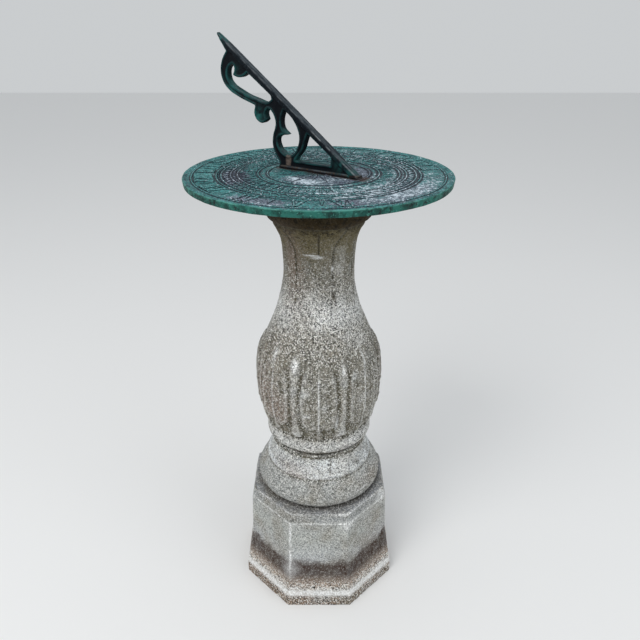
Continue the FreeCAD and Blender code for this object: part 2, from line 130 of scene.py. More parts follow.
def through(keys):
    """Smooth function of one number through (place, value) keys, flat outside them."""
    place, value = np.array(keys, float).T
    count, gap = len(place), np.diff(place)
    slope = np.diff(value) / gap
    system, right = np.eye(count), np.zeros(count)
    for i in range(1, count - 1):
        system[i, i - 1:i + 2] = gap[i - 1], 2 * (gap[i - 1] + gap[i]), gap[i]
        right[i] = 6 * (slope[i] - slope[i - 1])
    bend = np.linalg.solve(system, right)

    def evaluate(wanted):
        wanted = np.clip(wanted, place[0], place[-1])
        i = np.clip(np.searchsorted(place, wanted) - 1, 0, count - 2)
        a, b, width = place[i + 1] - wanted, wanted - place[i], gap[i]
        return ((bend[i] * a ** 3 + bend[i + 1] * b ** 3) / (6 * width)
                + (value[i] / width - bend[i] * width / 6) * a
                + (value[i + 1] / width - bend[i + 1] * width / 6) * b)
    return evaluate


def arc_points(first, middle, last, step):
    """Points about step apart on the arc through three points."""
    a, b, c = (complex(*point) for point in (first, middle, last))
    ratio = (c - a) / (b - a)
    centre = a + (b - a) * (ratio - abs(ratio) ** 2) / (2j * ratio.imag)
    radius = abs(a - centre)
    start, halfway, end = (np.angle(point - centre) for point in (a, b, c))
    turn = (end - start) % FULL_TURN
    if (halfway - start) % FULL_TURN > turn:
        turn -= FULL_TURN
    turns = start + turn * np.linspace(0, 1, max(3, int(abs(turn) * radius / step) + 1) + 1)
    return np.stack([centre.real + radius * np.cos(turns), centre.imag + radius * np.sin(turns)], 1)


def outline(start, segments, step):
    """Points about step apart along (end,), (end, middle of an arc) and (end, [smooth points])."""
    points = [np.array([start], float)]
    corner = start
    for segment in segments:
        end = segment[0]
        if len(segment) == 1:
            count = max(1, round(math.dist(corner, end) / step)) + 1
            run = np.linspace(corner, end, count)
        elif isinstance(segment[1], list):
            knots = np.array([corner] + segment[1] + [end], float)
            along = np.append(0, np.cumsum(np.linalg.norm(np.diff(knots, axis=0), axis=1)))
            wanted = np.linspace(0, along[-1], max(2, round(along[-1] / step)) + 1)
            run = np.stack([through(np.stack([along, knot], 1))(wanted) for knot in knots.T], 1)
        else:
            run = arc_points(corner, segment[1], end, step)
        points.append(run[1:])
        corner = end
    return np.vstack(points)


# ---------------------------------------------------------------- meshes
def set_attributes(mesh, attributes):
    for key, values in attributes.items():
        layer = mesh.attributes.new(key, "FLOAT", "POINT")
        layer.data.foreach_set("value", np.asarray(values, np.float32).ravel())


def make_object(name, points, faces, body, material, smooth=True, attributes=None):
    """Mesh object from points in mm, riding on a body."""
    mesh = bpy.data.meshes.new(name)
    mesh.from_pydata((np.asarray(points) * MM).tolist(), [], faces)
    mesh.validate()
    set_attributes(mesh, attributes or {})
    mesh.polygons.foreach_set("use_smooth", [smooth] * len(mesh.polygons))
    thing = bpy.data.objects.new(name, mesh)
    bpy.context.scene.collection.objects.link(thing)
    mesh.materials.append(material)
    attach(thing, body)
    return thing


def grid_faces(rows, columns, closed):
    """Faces of a grid that wraps round in columns.

    It wraps in rows too where it is closed. Otherwise fans join its ends to two further points.
    """
    row = np.arange(rows if closed else rows - 1)[:, None]
    column = np.arange(columns)
    after, beside = (row + 1) % rows, (column + 1) % columns
    corners = [row * columns + column, row * columns + beside,
               after * columns + beside, after * columns + column]
    faces = np.stack(corners, -1).reshape(-1, 4).tolist()
    if not closed:
        first, last = rows * columns, (rows - 1) * columns
        for j, k in zip(column.tolist(), beside.tolist()):
            faces += [(k, j, first), (last + j, last + k, first + 1)]
    return faces


def path_normals(path, closed):
    if closed:
        along = np.roll(path, -1, 0) - np.roll(path, 1, 0)
    else:
        along = np.gradient(path, axis=0)
    along /= np.linalg.norm(along, axis=1, keepdims=True) + 1e-9
    return np.stack([along[:, 1], -along[:, 0]], 1)


def with_ends(values):
    """Point values of a grid, with two more for the middles of its ends."""
    return {key: np.append(value.ravel(), [0, 0]) for key, value in values.items()}


def lathe(name, path, columns, body, material, shape, closed=True):
    """Turned piece. path is (radius, height) rows, anticlockwise seen with the axis on the left.

    shape(turn, radius, height) gives how far each point stands proud, and named attributes. A path
    that isn't closed starts and ends on the axis.
    """
    inner = slice(None) if closed else slice(1, -1)
    rows, normal = path[inner], path_normals(path, closed)[inner]
    turns = np.tile(np.arange(columns) * FULL_TURN / columns, (len(rows), 1))
    radius = np.broadcast_to(rows[:, 0:1], turns.shape)
    height = np.broadcast_to(rows[:, 1:2], turns.shape)
    proud, attributes = shape(turns, radius, height)
    points = polar_points(turns, radius + proud * normal[:, 0:1], height + proud * normal[:, 1:2])
    points = points.reshape(-1, 3)
    if not closed:
        points = np.vstack([points, [[0, 0, path[0, 1]], [0, 0, path[-1, 1]]]])
        attributes = with_ends(attributes)
    faces = grid_faces(len(rows), columns, closed)
    return make_object(name, points, faces, body, material, attributes=attributes)


def stacked(rings, start):
    """Points, and faces counted from start, of a closed solid through rings of points.

    The rings run anticlockwise seen from the last one's side. A last ring of one point is a tip.
    """
    count = len(rings[0])
    faces = [tuple(start + i for i in reversed(range(count)))]
    for level, ring in enumerate(rings[1:]):
        low = start + level * count
        for i in range(count):
            k = (i + 1) % count
            tip = len(ring) == 1
            faces.append((low + i, low + k) + ((low + count,) if tip else (low + count + k, low + count + i)))
    if len(rings[-1]) > 1:
        faces.append(tuple(start + (len(rings) - 1) * count + i for i in range(count)))
    return [point for ring in rings for point in ring], faces


def blurred(field, rows, columns):
    """Box mean over neighbours, wrapping in columns."""
    total = sum(np.roll(field, shift, 1) for shift in range(-columns, columns + 1))
    padded = np.pad(total, ((rows, rows), (0, 0)), mode="edge")
    total = sum(padded[shift:shift + len(field)] for shift in range(2 * rows + 1))
    return total / ((2 * rows + 1) * (2 * columns + 1))


def hollows(proud, fine, broad):
    """How far each point stands over its neighbourhood, by two box means, about -1 to 1."""
    near, far = (proud - blurred(proud, *size) for size in (fine, broad))
    return np.clip(0.75 * near + 0.35 * far, -1, 1)


def polar_points(turns, radius, height):
    return np.stack([radius * np.cos(turns), radius * np.sin(turns), height], -1)


def from_place(turns, degrees):
    """Angle in radians from a place given in degrees from the front."""
    return (turns + math.pi / 2 - np.radians(degrees) + math.pi) % FULL_TURN - math.pi


def from_leaf(turns):
    """Angle from the nearest leaf's midrib, never negative."""
    step = FULL_TURN / LEAVES
    return np.abs((turns + math.pi / 2 + step / 2) % step - step / 2)


def spots(turns, height, places):
    """Sum of soft spots, each (degrees from the front, height, half width, half height, strength)."""
    total = np.zeros(np.shape(turns))
    for degrees, level, width, tall, strength in places:
        off = from_place(turns, degrees) * 60.0 / width
        total += strength * np.exp(-off ** 2 - ((height - level) / tall) ** 2)
    return total


# ---------------------------------------------------------------- materials
class Value:
    """Output of a material node. Arithmetic on it adds math nodes."""

    def __init__(self, nodes, socket):
        self.nodes, self.socket = nodes, socket

    def __add__(self, other):
        return self.nodes.math("ADD", self, other)

    def __sub__(self, other):
        return self.nodes.math("SUBTRACT", self, other)

    def __rsub__(self, other):
        return self.nodes.math("SUBTRACT", other, self)

    def __mul__(self, other):
        return self.nodes.math("MULTIPLY", self, other)


class Nodes:
    """Small helper that builds a material's node tree. Inputs are values, numbers or colours."""

    def __init__(self, name):
        self.material = bpy.data.materials.new(name)
        self.material.use_nodes = True
        self.shader = self.material.node_tree.nodes["Principled BSDF"]
        self.place = self.add("TexCoord", "Object", {})
        self.colour = None

    def feed(self, node, inputs):
        for key, value in inputs.items():
            if isinstance(value, Value):
                self.material.node_tree.links.new(value.socket, node.inputs[key])
            else:
                node.inputs[key].default_value = (*value, 1.0) if isinstance(value, tuple) else value

    def add(self, kind, output, inputs, **settings):
        node = self.material.node_tree.nodes.new("ShaderNode" + kind)
        for key, value in settings.items():
            setattr(node, key, value)
        self.feed(node, inputs)
        return Value(self, node.outputs[output])

    def noise(self, pitch, detail=4.0, rough=0.55):
        """Noise whose features are about pitch mm across."""
        return self.add("TexNoise", "Fac", {"Vector": self.place, "Scale": 1000.0 / pitch,
                                            "Detail": detail, "Roughness": rough})

    def wobble(self, size, pitch, detail=4.0, rough=0.55):
        """Noise about 0 instead of 0.5, times size."""
        return (self.noise(pitch, detail, rough) - 0.5) * size

    def grains(self, pitch):
        """Two random numbers for each grain about pitch mm across."""
        colour = self.add("TexVoronoi", "Color", {"Vector": self.place, "Scale": 1000.0 / pitch})
        return [self.add("SeparateColor", which, {"Color": colour}) for which in ("Red", "Green")]

    def range(self, value, low, high, out_low=0.0, out_high=1.0):
        return self.add("MapRange", "Result", {"Value": value, "From Min": low, "From Max": high,
                                               "To Min": out_low, "To Max": out_high},
                        interpolation_type="SMOOTHSTEP")

    def math(self, operation, a, b=0.0):
        return self.add("Math", "Value", {0: a, 1: b}, operation=operation)

    def mix(self, share, a, b, blend="MIX"):
        return self.add("Mix", "Result", {"Factor": share, "A": a, "B": b},
                        data_type="RGBA", blend_type=blend)

    def paint(self, share, colour):
        """Lays a colour over the material's own."""
        self.colour = self.mix(share, self.colour, colour)

    def shade(self, value):
        grey = self.add("CombineColor", "Color", {"Red": value, "Green": value, "Blue": value})
        self.colour = self.mix(1.0, self.colour, grey, "MULTIPLY")

    def bands(self, place, stops, scale):
        """Colour by place, from (number, colour) stops given in units where scale is 1."""
        colour = self.add("ValToRGB", "Color", {"Fac": place})
        made = colour.socket.node.color_ramp.elements
        while len(made) < len(stops):
            made.new(1.0)
        for stop, (number, shade) in zip(made, stops):
            stop.position = number / scale
            stop.color = (*shade, 1.0)
        return colour

    def attribute(self, name):
        return self.add("Attribute", "Fac", {}, attribute_name=name)

    def upright(self, vector):
        return self.add("SeparateXYZ", "Z", {"Vector": vector})

    def bumps(self, *layers):
        """Chain of bumps from (height value, strength, distance in mm)."""
        below = {}
        for value, strength, distance in layers:
            inputs = {"Strength": strength, "Distance": distance * MM, "Height": value}
            below = {"Normal": self.add("Bump", "Normal", {**inputs, **below})}
        self.feed(self.shader, below)

    def finish(self, roughness, metallic=0.0, specular=0.5):
        self.feed(self.shader, {"Base Color": self.colour, "Roughness": roughness, "Metallic": metallic,
                                "Specular IOR Level": specular})
        return self.material


# the stone's colour by height in mm: brown foot, pale collar, dark cap; from 505 mm up the dark olive-brown
# is painted nearly black as shadow of the dial plate
STONE_BANDS = [
    (0, (0.225, 0.162, 0.120)), (17, (0.250, 0.188, 0.145)), (24, (0.40, 0.35, 0.30)),
    (60, (0.36, 0.37, 0.37)), (80, (0.43, 0.445, 0.45)), (112, (0.385, 0.40, 0.38)),
    (140, (0.385, 0.395, 0.38)), (144, (0.28, 0.29, 0.29)), (152, (0.285, 0.295, 0.29)),
    (155, (0.235, 0.245, 0.262)), (157, (0.26, 0.265, 0.255)), (190, (0.345, 0.355, 0.345)),
    (197, (0.36, 0.37, 0.365)), (201, (0.60, 0.63, 0.65)), (221, (0.54, 0.565, 0.57)),
    (228, (0.30, 0.30, 0.27)), (238, (0.38, 0.385, 0.37)), (256, (0.38, 0.38, 0.36)),
    (262, (0.215, 0.205, 0.165)), (300, (0.232, 0.222, 0.190)), (372, (0.192, 0.184, 0.158)),
    (398, (0.275, 0.270, 0.248)), (424, (0.55, 0.555, 0.545)), (452, (0.242, 0.232, 0.205)),
    # from 505 mm up: dark olive-brown stone darkened by painted shadow of the dial plate
    (480, (0.162, 0.152, 0.120)), (505, (0.138, 0.118, 0.066)), (524, (0.102, 0.083, 0.040)),
    (532, (0.030, 0.020, 0.007)), (573, (0.030, 0.020, 0.007)),
]
BAND_SCALE = 600.0


def stone_material():
    """Weathered cast stone: cement with dark and white grains, stains and edge wear, with painted shade in
    hollows and under the dial plate and painted highlights on crests.
    """
    n = Nodes("weathered_cast_stone")
    height = n.upright(n.place)
    level = height + n.wobble(0.040, 22, 4, 0.6) * n.range(height, 0.36, 0.44)
    n.colour = n.bands(level * (1 / (BAND_SCALE * MM)), STONE_BANDS, BAND_SCALE)
    below_cap = n.range(height, 0.532, 0.470)
    olive = n.range(n.noise(40, 4, 0.6), 0.42, 0.66, 0.0, 0.6) * below_cap
    n.paint(olive, (0.225, 0.205, 0.165))
    blue = n.range(n.noise(31, 3, 0.6), 0.52, 0.70, 0.0, 0.4) * below_cap
    n.paint(blue, (0.36, 0.38, 0.38))
    n.paint(n.attribute("pink"), (0.225, 0.175, 0.145))
    # painted shade and grime in the hollows, and brown mud in the foot's cove
    relief = n.attribute("relief") + n.wobble(0.5, 4.5, 4, 0.6)
    carved = n.range(height, 0.256, 0.268) * n.range(height, 0.385, 0.365)
    hollow_shade_and_grime = n.range(relief, 0.0, -0.85) * n.range(carved, 0.0, 1.0, 0.82, 0.72)
    n.paint(hollow_shade_and_grime, (0.066, 0.058, 0.034))
    mud = n.mix(n.range(height, 0.033, 0.056), (0.380, 0.300, 0.240), (0.046, 0.027, 0.020))
    n.paint(n.attribute("mud"), mud)
    # stains, with painted shade: a contact shadow on the plinth's top, the neck's grooves and creases and the
    # leaves' dished sides
    n.paint(n.attribute("stain_and_shade"), (0.055, 0.043, 0.028))
    # pale bloom and worn edges, with painted highlights on proud points and on the carving's crests
    bloom_and_highlight = n.math("MAXIMUM", n.range(relief, 0.30, 0.95) * 0.24, n.attribute("wear_and_highlight"))
    bloom_and_highlight = bloom_and_highlight * n.range(n.noise(2.4, 3, 0.7), 0.30, 0.62, 0.35, 1.0)
    bloom_and_highlight = bloom_and_highlight * n.range(height, 0.545, 0.520, 0.1, 1.0)
    n.paint(bloom_and_highlight, (0.84, 0.85, 0.85))
    # grains of the aggregate, coarser looking on the slab's edge and from the collar up
    coarse = n.math("MAXIMUM", n.range(height, 0.150, 0.235, 0.55, 1.0),
                    n.range(height, 0.046, 0.032, 0.55, 1.2))
    coarse = coarse * n.range(height, 0.505, 0.425, 0.35, 1.0)
    muddy = n.attribute("mud") * n.range(height, 0.040, 0.054)
    for cover, least in ((muddy, 0.35), (carved, 0.72), (n.attribute("crust"), 0.15)):
        coarse = coarse * n.range(cover, 0.0, 1.0, 1.0, least)
    spotted = n.range(n.noise(5.5, 3, 0.7), 0.52, 0.64, 0.0, 0.8) * n.range(height, 0.505, 0.535)
    n.paint(spotted, (0.010, 0.008, 0.004))
    shade = n.math("MAXIMUM", n.wobble(5.8, 1.7, 3, 0.8) * coarse + 1.0, 0.2)
    first, second = n.grains(1.15)
    n.shade(shade * (1.0 - n.range(first, 0.60, 0.86, 0.0, 0.82) * coarse))
    light = n.range(second, 0.74, 0.90, 0.0, 0.92) * coarse * n.range(height, 0.540, 0.470, 0.05, 1.0)
    n.paint(light, (0.78, 0.775, 0.74))
    n.bumps((n.noise(7, 4, 0.6), 0.5, 0.5), (first, 0.40, 0.30), (n.noise(2.2, 3), 0.5, 0.35))
    return n.finish(n.range(n.noise(5), 0.3, 0.7, 0.84, 0.97), specular=0.2)


def mortar_material():
    n = Nodes("old_mortar")
    n.colour = n.mix(n.noise(6, 4), (0.06, 0.052, 0.036), (0.20, 0.18, 0.14))
    n.paint(n.range(n.grains(1.6)[0], 0.75, 0.9, 0.0, 0.5), (0.4, 0.38, 0.33))
    n.bumps((n.noise(3, 4), 0.7, 0.5))
    return n.finish(0.95, specular=0.2)


def dial_material():
    """Verdigris: teal crust over dark bronze, purple-grey where it is rubbed bare, chalky spots with painted
    glints and sky sheen, painted shade on sunk ground, a painted highlight on the rim's top edge.
    """
    n = Nodes("verdigris_dial")
    relief, busy = n.attribute("relief"), n.attribute("busy")
    n.colour = n.mix(n.range(n.noise(17, 4, 0.65), 0.36, 0.64), (0.024, 0.126, 0.129), (0.056, 0.222, 0.224))
    dull = n.range(n.noise(9, 4, 0.7), 0.50, 0.66, 0.0, 0.75) * busy
    n.paint(dull, (0.040, 0.062, 0.082))
    crust = n.range(relief, 0.1, 0.9) * n.range(n.noise(3.6, 3, 0.65), 0.36, 0.60)
    n.paint(crust * 0.65, (0.125, 0.310, 0.315))
    bare = n.attribute("bare") + n.wobble(2.6, 5, 5, 0.75)
    rubbed = n.mix(n.range(n.noise(2.2, 3, 0.7), 0.38, 0.62), (0.045, 0.052, 0.080), (0.215, 0.250, 0.320))
    n.paint(n.range(bare, 0.25, 0.80, 0.0, 0.95), rubbed)
    # dark worm-like lines of old pitting
    worm = n.math("ABSOLUTE", n.noise(4.2, 3, 0.65) - 0.5)
    n.paint(n.range(worm, 0.0, 0.045, 0.85, 0.0) * busy, (0.012, 0.018, 0.032))
    mottle = n.wobble(6.5, 1.8, 3, 0.85) + 1.08
    n.shade(n.math("MAXIMUM", mottle, 0.12))
    # chalky crust with painted sky sheen, and pale flecks that are partly painted glints
    chalk_and_sheen = n.attribute("chalk_and_sheen")
    haze_and_sheen = chalk_and_sheen + n.wobble(2.4, 3.4, 4, 0.8)
    n.paint(n.range(haze_and_sheen, 0.35, 0.95, 0.0, 0.45), (0.170, 0.240, 0.285))
    fleck_and_glint = n.noise(1.7, 3, 0.8) + chalk_and_sheen * 0.09
    n.paint(n.range(fleck_and_glint, 0.585, 0.685, 0.0, 0.75), (0.290, 0.440, 0.480))
    fleck_and_glint = n.noise(4.4, 4, 0.8) + chalk_and_sheen * 0.165
    n.paint(n.range(fleck_and_glint, 0.63, 0.67, 0.0, 0.95), (0.64, 0.75, 0.84))
    # painted shade: the sunk ground beside each raised mark, and the rings' grooves, are painted nearly black
    sunk = n.range(relief + n.wobble(1.1, 2.4, 3, 0.7), -0.05, -0.75)
    n.paint(sunk * 0.9, (0.010, 0.013, 0.025))
    # the rim's upright edge is jade, with black and pale patches
    jade = n.mix(n.range(n.noise(15, 4, 0.65), 0.40, 0.62), (0.004, 0.042, 0.034), (0.016, 0.128, 0.102))
    jade = n.mix(n.range(n.noise(9, 4, 0.75), 0.53, 0.62, 0.0, 0.92), jade, (0.004, 0.012, 0.012))
    jade = n.mix(n.range(n.noise(2.6, 3, 0.75), 0.58, 0.68, 0.0, 0.8), jade, (0.075, 0.280, 0.230))
    n.paint(n.attribute("edge"), jade)
    # painted highlight along the rim's top edge
    n.paint(n.attribute("lip") * 0.8, (0.100, 0.330, 0.280))
    n.paint(n.attribute("rust"), (0.046, 0.026, 0.020))
    n.bumps((n.noise(5, 4, 0.6), 0.35, 0.5), (n.noise(1.6, 3), 0.6, 0.45))
    return n.finish(n.range(n.noise(4, 3), 0.35, 0.65, 0.50, 0.80), specular=0.25)


def gnomon_material():
    """Nearly black bronze, slate grey where it faces the sky (weathered tops with painted sky light), teal on
    its raised borders, painted shade in the sunk channels, painted highlights on the style's upper corners.
    """
    n = Nodes("dark_bronze_gnomon")
    n.colour = n.mix(n.noise(12, 4, 0.6), (0.002, 0.003, 0.005), (0.007, 0.011, 0.016))
    rims = n.attribute("rim") * n.range(n.noise(14, 4, 0.65), 0.40, 0.60, 0.25, 1.0)
    n.paint(rims * 0.75, (0.013, 0.066, 0.068))
    speckle = n.range(n.noise(1.8, 3, 0.7), 0.58, 0.70, 0.0, 0.5)
    n.paint(speckle, (0.045, 0.070, 0.080))
    # faces turned up are painted lighter: weathered tops with painted sky light
    sky = n.range(n.upright(n.add("NewGeometry", "Normal", {})), 0.35, 0.90)
    streak = n.attribute("streak") + n.wobble(1.0, 3, 4, 0.75)
    rubbed = n.mix(n.range(streak, -0.45, 0.65), (0.016, 0.024, 0.032), (0.096, 0.114, 0.128))
    n.paint(sky * 0.9, rubbed)
    n.paint(n.attribute("green"), (0.018, 0.112, 0.106))
    # painted shade in the sunk channels
    n.paint(n.attribute("channel") * 0.85, (0.003, 0.004, 0.006))
    # the style's upper corners rubbed pale, with painted highlights
    n.paint(n.attribute("wear_and_highlight"), (0.240, 0.262, 0.275))
    # the foot's top painted light and its sides dark by which way each face looks: painted light and shade
    foot = n.range(n.upright(n.place), 0.5870, 0.5852) * n.range(n.noise(4, 3), 0.42, 0.58, 0.10, 1.0)
    n.paint(foot * 0.85, n.mix(sky, (0.014, 0.007, 0.005), (0.066, 0.052, 0.038)))
    patch = n.attribute("bare") * n.range(n.noise(3, 3, 0.7), 0.34, 0.56, 0.45, 1.0)
    n.paint(patch, (0.150, 0.118, 0.100))
    n.bumps((n.noise(4, 4, 0.6), 0.4, 0.35), (n.noise(1.3, 3), 0.4, 0.2))
    return n.finish(n.range(n.noise(5, 3), 0.35, 0.65, 0.50, 0.78), specular=0.09)


def metal_material(name, dark, light, roughness, metallic):
    n = Nodes(name)
    n.bumps((n.noise(2, 3), 0.3, 0.1))
    n.colour = n.mix(n.noise(5, 4), dark, light)
    return n.finish(roughness, metallic)


STONE = stone_material()
MORTAR = mortar_material()
VERDIGRIS = dial_material()
DARK_BRONZE = gnomon_material()
BRASS = metal_material("dull_brass", (0.32, 0.23, 0.09), (0.60, 0.46, 0.20), 0.42, 1.0)
LEAD = metal_material("grey_lead", (0.14, 0.145, 0.155), (0.30, 0.31, 0.33), 0.6, 0.8)
STEEL = metal_material("galvanised_steel", (0.30, 0.31, 0.32), (0.55, 0.56, 0.57), 0.45, 1.0)


# ---------------------------------------------------------------- plinth
# levels of the slab's top edge and of the lower and upper edges of the bevel under the plinth's top
SLAB_TOP, BEVEL_LOW, BEVEL_HIGH = 22.0, 140.3, 153.6
PLINTH_PATH = [
    ((PLINTH_HALF, 1.0), (PLINTH_HALF - 0.3, 0.3)),
    ((PLINTH_HALF, 18.5),),
    ((103.2, 24.5), (104.3, 22.4)),
    ((95.5, 80.0), [(101.6, 40.0), (98.6, 56.0)]),
    ((93.2, 138.5),),
    ((92.4, 141.5), (93.0, 140.1)),
    ((89.9, 153.4),),
    ((88.2, PLINTH_TOP), (89.3, 154.6)),
]
SIDES = 8
SIDE_COLUMNS, CORNER_COLUMNS = 54, 6
CORNER_RADIUS = 1.8
CAVITY_RADIUS, CAVITY_TOP = 64.0, 96.0
# how white each upright arris is worn, from the one at 22.5 degrees round
ARRIS_WEAR = np.array([0.35, 0.6, 0.3, 0.5, 0.35, 1.15, 0.12, 0.4])


def plinth_columns():
    """(side, place along it from -1 to 1, share of the corner's turn) for each column."""
    even = -1 + 2 * np.arange(SIDE_COLUMNS) / SIDE_COLUMNS
    # columns stand closer together near the corners
    straight = [(place, 0.0) for place in 0.45 * even + 0.55 * np.sin(even * math.pi / 2)]
    corner = [(1.0, i / CORNER_COLUMNS) for i in range(CORNER_COLUMNS)]
    return np.array([(side, *column) for side in range(SIDES) for column in straight + corner])


def plinth_points(path, columns):
    """Grid of points, and the direction each column faces."""
    facing = columns[:, 0] * FULL_TURN / SIDES
    turned = facing + columns[:, 2] * FULL_TURN / SIDES
    inset = path[:, 0:1] - CORNER_RADIUS
    along = inset * math.tan(math.pi / SIDES) * columns[:, 1]
    x = inset * np.cos(facing) - along * np.sin(facing) + CORNER_RADIUS * np.cos(turned)
    y = inset * np.sin(facing) + along * np.cos(facing) + CORNER_RADIUS * np.sin(turned)
    # the rows of the cavity inside are round
    inner = path[:, 0] <= CAVITY_RADIUS + 2.0
    angle = np.arctan2(y, x)[inner]
    x[inner], y[inner] = path[inner, 0:1] * np.cos(angle), path[inner, 0:1] * np.sin(angle)
    return np.stack([x, y, np.broadcast_to(path[:, 1:2], x.shape)], -1), turned


def make_plinth():
    outer = outline((PLINTH_HALF - 1.0, 0.0), PLINTH_PATH, 1.25)
    inner = outline(tuple(outer[-1]), [((CAVITY_RADIUS, PLINTH_TOP),)], 2.0)[1:]
    path = np.vstack([outer, inner, [(CORE_RADIUS, PLINTH_TOP), (CORE_RADIUS, CAVITY_TOP)]])
    columns = plinth_columns()
    points, turned = plinth_points(path, columns)
    normal = path_normals(path, False)
    level = np.broadcast_to(path[:, 1:2], points.shape[:2])
    outside = (np.arange(len(path)) < len(outer))[:, None]
    # weathering: waves, pits and chipped arrises, always inward of the sawn faces
    arris = np.broadcast_to(ramp(0.93, 1.0, np.abs(columns[:, 1])), level.shape)
    edges = sum(bump(level, place, 1.8) for place in (1.0, SLAB_TOP, BEVEL_LOW, BEVEL_HIGH))
    rough = 0.38 * noise(points, 3, 14) + 0.24 * noise(points, 4, 4.5) + 0.12 * noise(points, 12, 2.2)
    chips = np.maximum(noise(points, 5, 8, 2) - 0.20, 0) * 3.0 * np.maximum(arris, np.minimum(edges, 1))
    depth = (0.5 - rough + chips) * np.where(outside, 1.0, 0.5) * (path[:, 0:1] >= 60)
    points[..., 0] -= depth * np.cos(turned) * normal[:, 0:1]
    points[..., 1] -= depth * np.sin(turned) * normal[:, 0:1]
    points[..., 2] -= depth * normal[:, 1:2] * (level > 4.0)
    looks = with_ends(plinth_looks(points, columns, level, outside, arris, chips))
    flat = np.vstack([points.reshape(-1, 3), [(0, 0, 0), (0, 0, CAVITY_TOP)]])
    faces = grid_faces(len(path), len(columns), False)
    thing = make_object("plinth_stone", flat, faces, "pedestal", STONE, attributes=looks)
    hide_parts("plinth_block")


def plinth_looks(points, columns, level, outside, arris, chips):
    """Mud in the cove, a slab edge weathered white, pale lines along the bevel and the arrises, and a painted
    shadow on the top beside the base.
    """
    angle = np.arctan2(points[..., 1], points[..., 0])
    ragged = 8 * noise(points, 6, 15) + 3 * noise(points, 7, 3.5)
    splash = spots(angle, 0 * level, [(67, 0, 5, 1, 10)])
    mud = ramp(82, 69, level + ragged - splash) * ramp(25, 38, level + 0.6 * ragged)
    mud = np.clip(mud * (0.85 + 0.3 * noise(points, 8, 5)), 0, 1)
    white = 1.2 * bump(level + 0.10 * ragged, 23.0, 5.2) * (0.95 + 0.35 * noise(points, 9, 6))
    flecks = 0.95 * between(level, 15, 20, 28, 44) * ramp(-0.05, 0.30, noise(points, 13, 2.4))
    patchy = 0.18 + 0.75 * ramp(-0.35, 0.35, noise(points, 10, 9))
    lines = (bump(level, BEVEL_LOW, 1.1) + 0.8 * bump(level, BEVEL_HIGH, 1.1)) * patchy
    # each side's columns belong to the arris nearest to them
    side = columns[:, 0].astype(int) - (columns[:, 1] < 0)
    upright = ramp(0.94, 0.99, np.abs(columns[:, 1])) * ARRIS_WEAR[side % SIDES]
    upright = upright * ramp(-0.7, 0.2, noise(points, 11, 9)) * between(level, 52, 84, 139, 143)
    corners = spots(angle, level, [
        (22.5, 136, 4, 6, 0.9), (22.5, 153, 6, 2, 0.9), (64, 146, 5, 9, 0.7), (-22.5, 60, 6, 12, 0.5)])
    wear_and_highlight = np.clip(np.maximum(white, flecks) + lines + 0.85 * upright + corners, 0, 0.95)
    pink = spots(angle, level, [(54, 90, 16, 40, 0.25), (-70, 70, 16, 30, 0.15)])
    stain_and_shade = spots(angle, level, [(64, 68, 8, 8, 0.7)]) * ramp(-0.4, 0.3, noise(points, 14, 6))
    # painted contact shadow: the top is dark beside the base that stands on it
    contact_shadow = ramp(90.0, 76.0, np.hypot(points[..., 0], points[..., 1])) * (level > 154.0)
    stain_and_shade = np.clip(np.maximum(stain_and_shade, 0.75 * contact_shadow), 0, 1)
    # chips count as hollows, which the material paints with shade
    relief = np.clip(-1.1 * chips + 0.25 * arris, -1, 1)
    looks = {"mud": mud, "wear_and_highlight": wear_and_highlight, "relief": relief, "pink": pink, "crust": np.clip(white, 0, 1)}
    return {"stain_and_shade": stain_and_shade, **{key: values * outside for key, values in looks.items()}}


# ---------------------------------------------------------------- round base and mortar
def weathered(points, seed, pitch, strengths):
    """Waves, lumps and grain that stand up to about half a millimetre proud."""
    pitches = (pitch, 5, 2.4)
    return sum(strength * noise(points, seed + i, pitches[i]) for i, strength in enumerate(strengths))


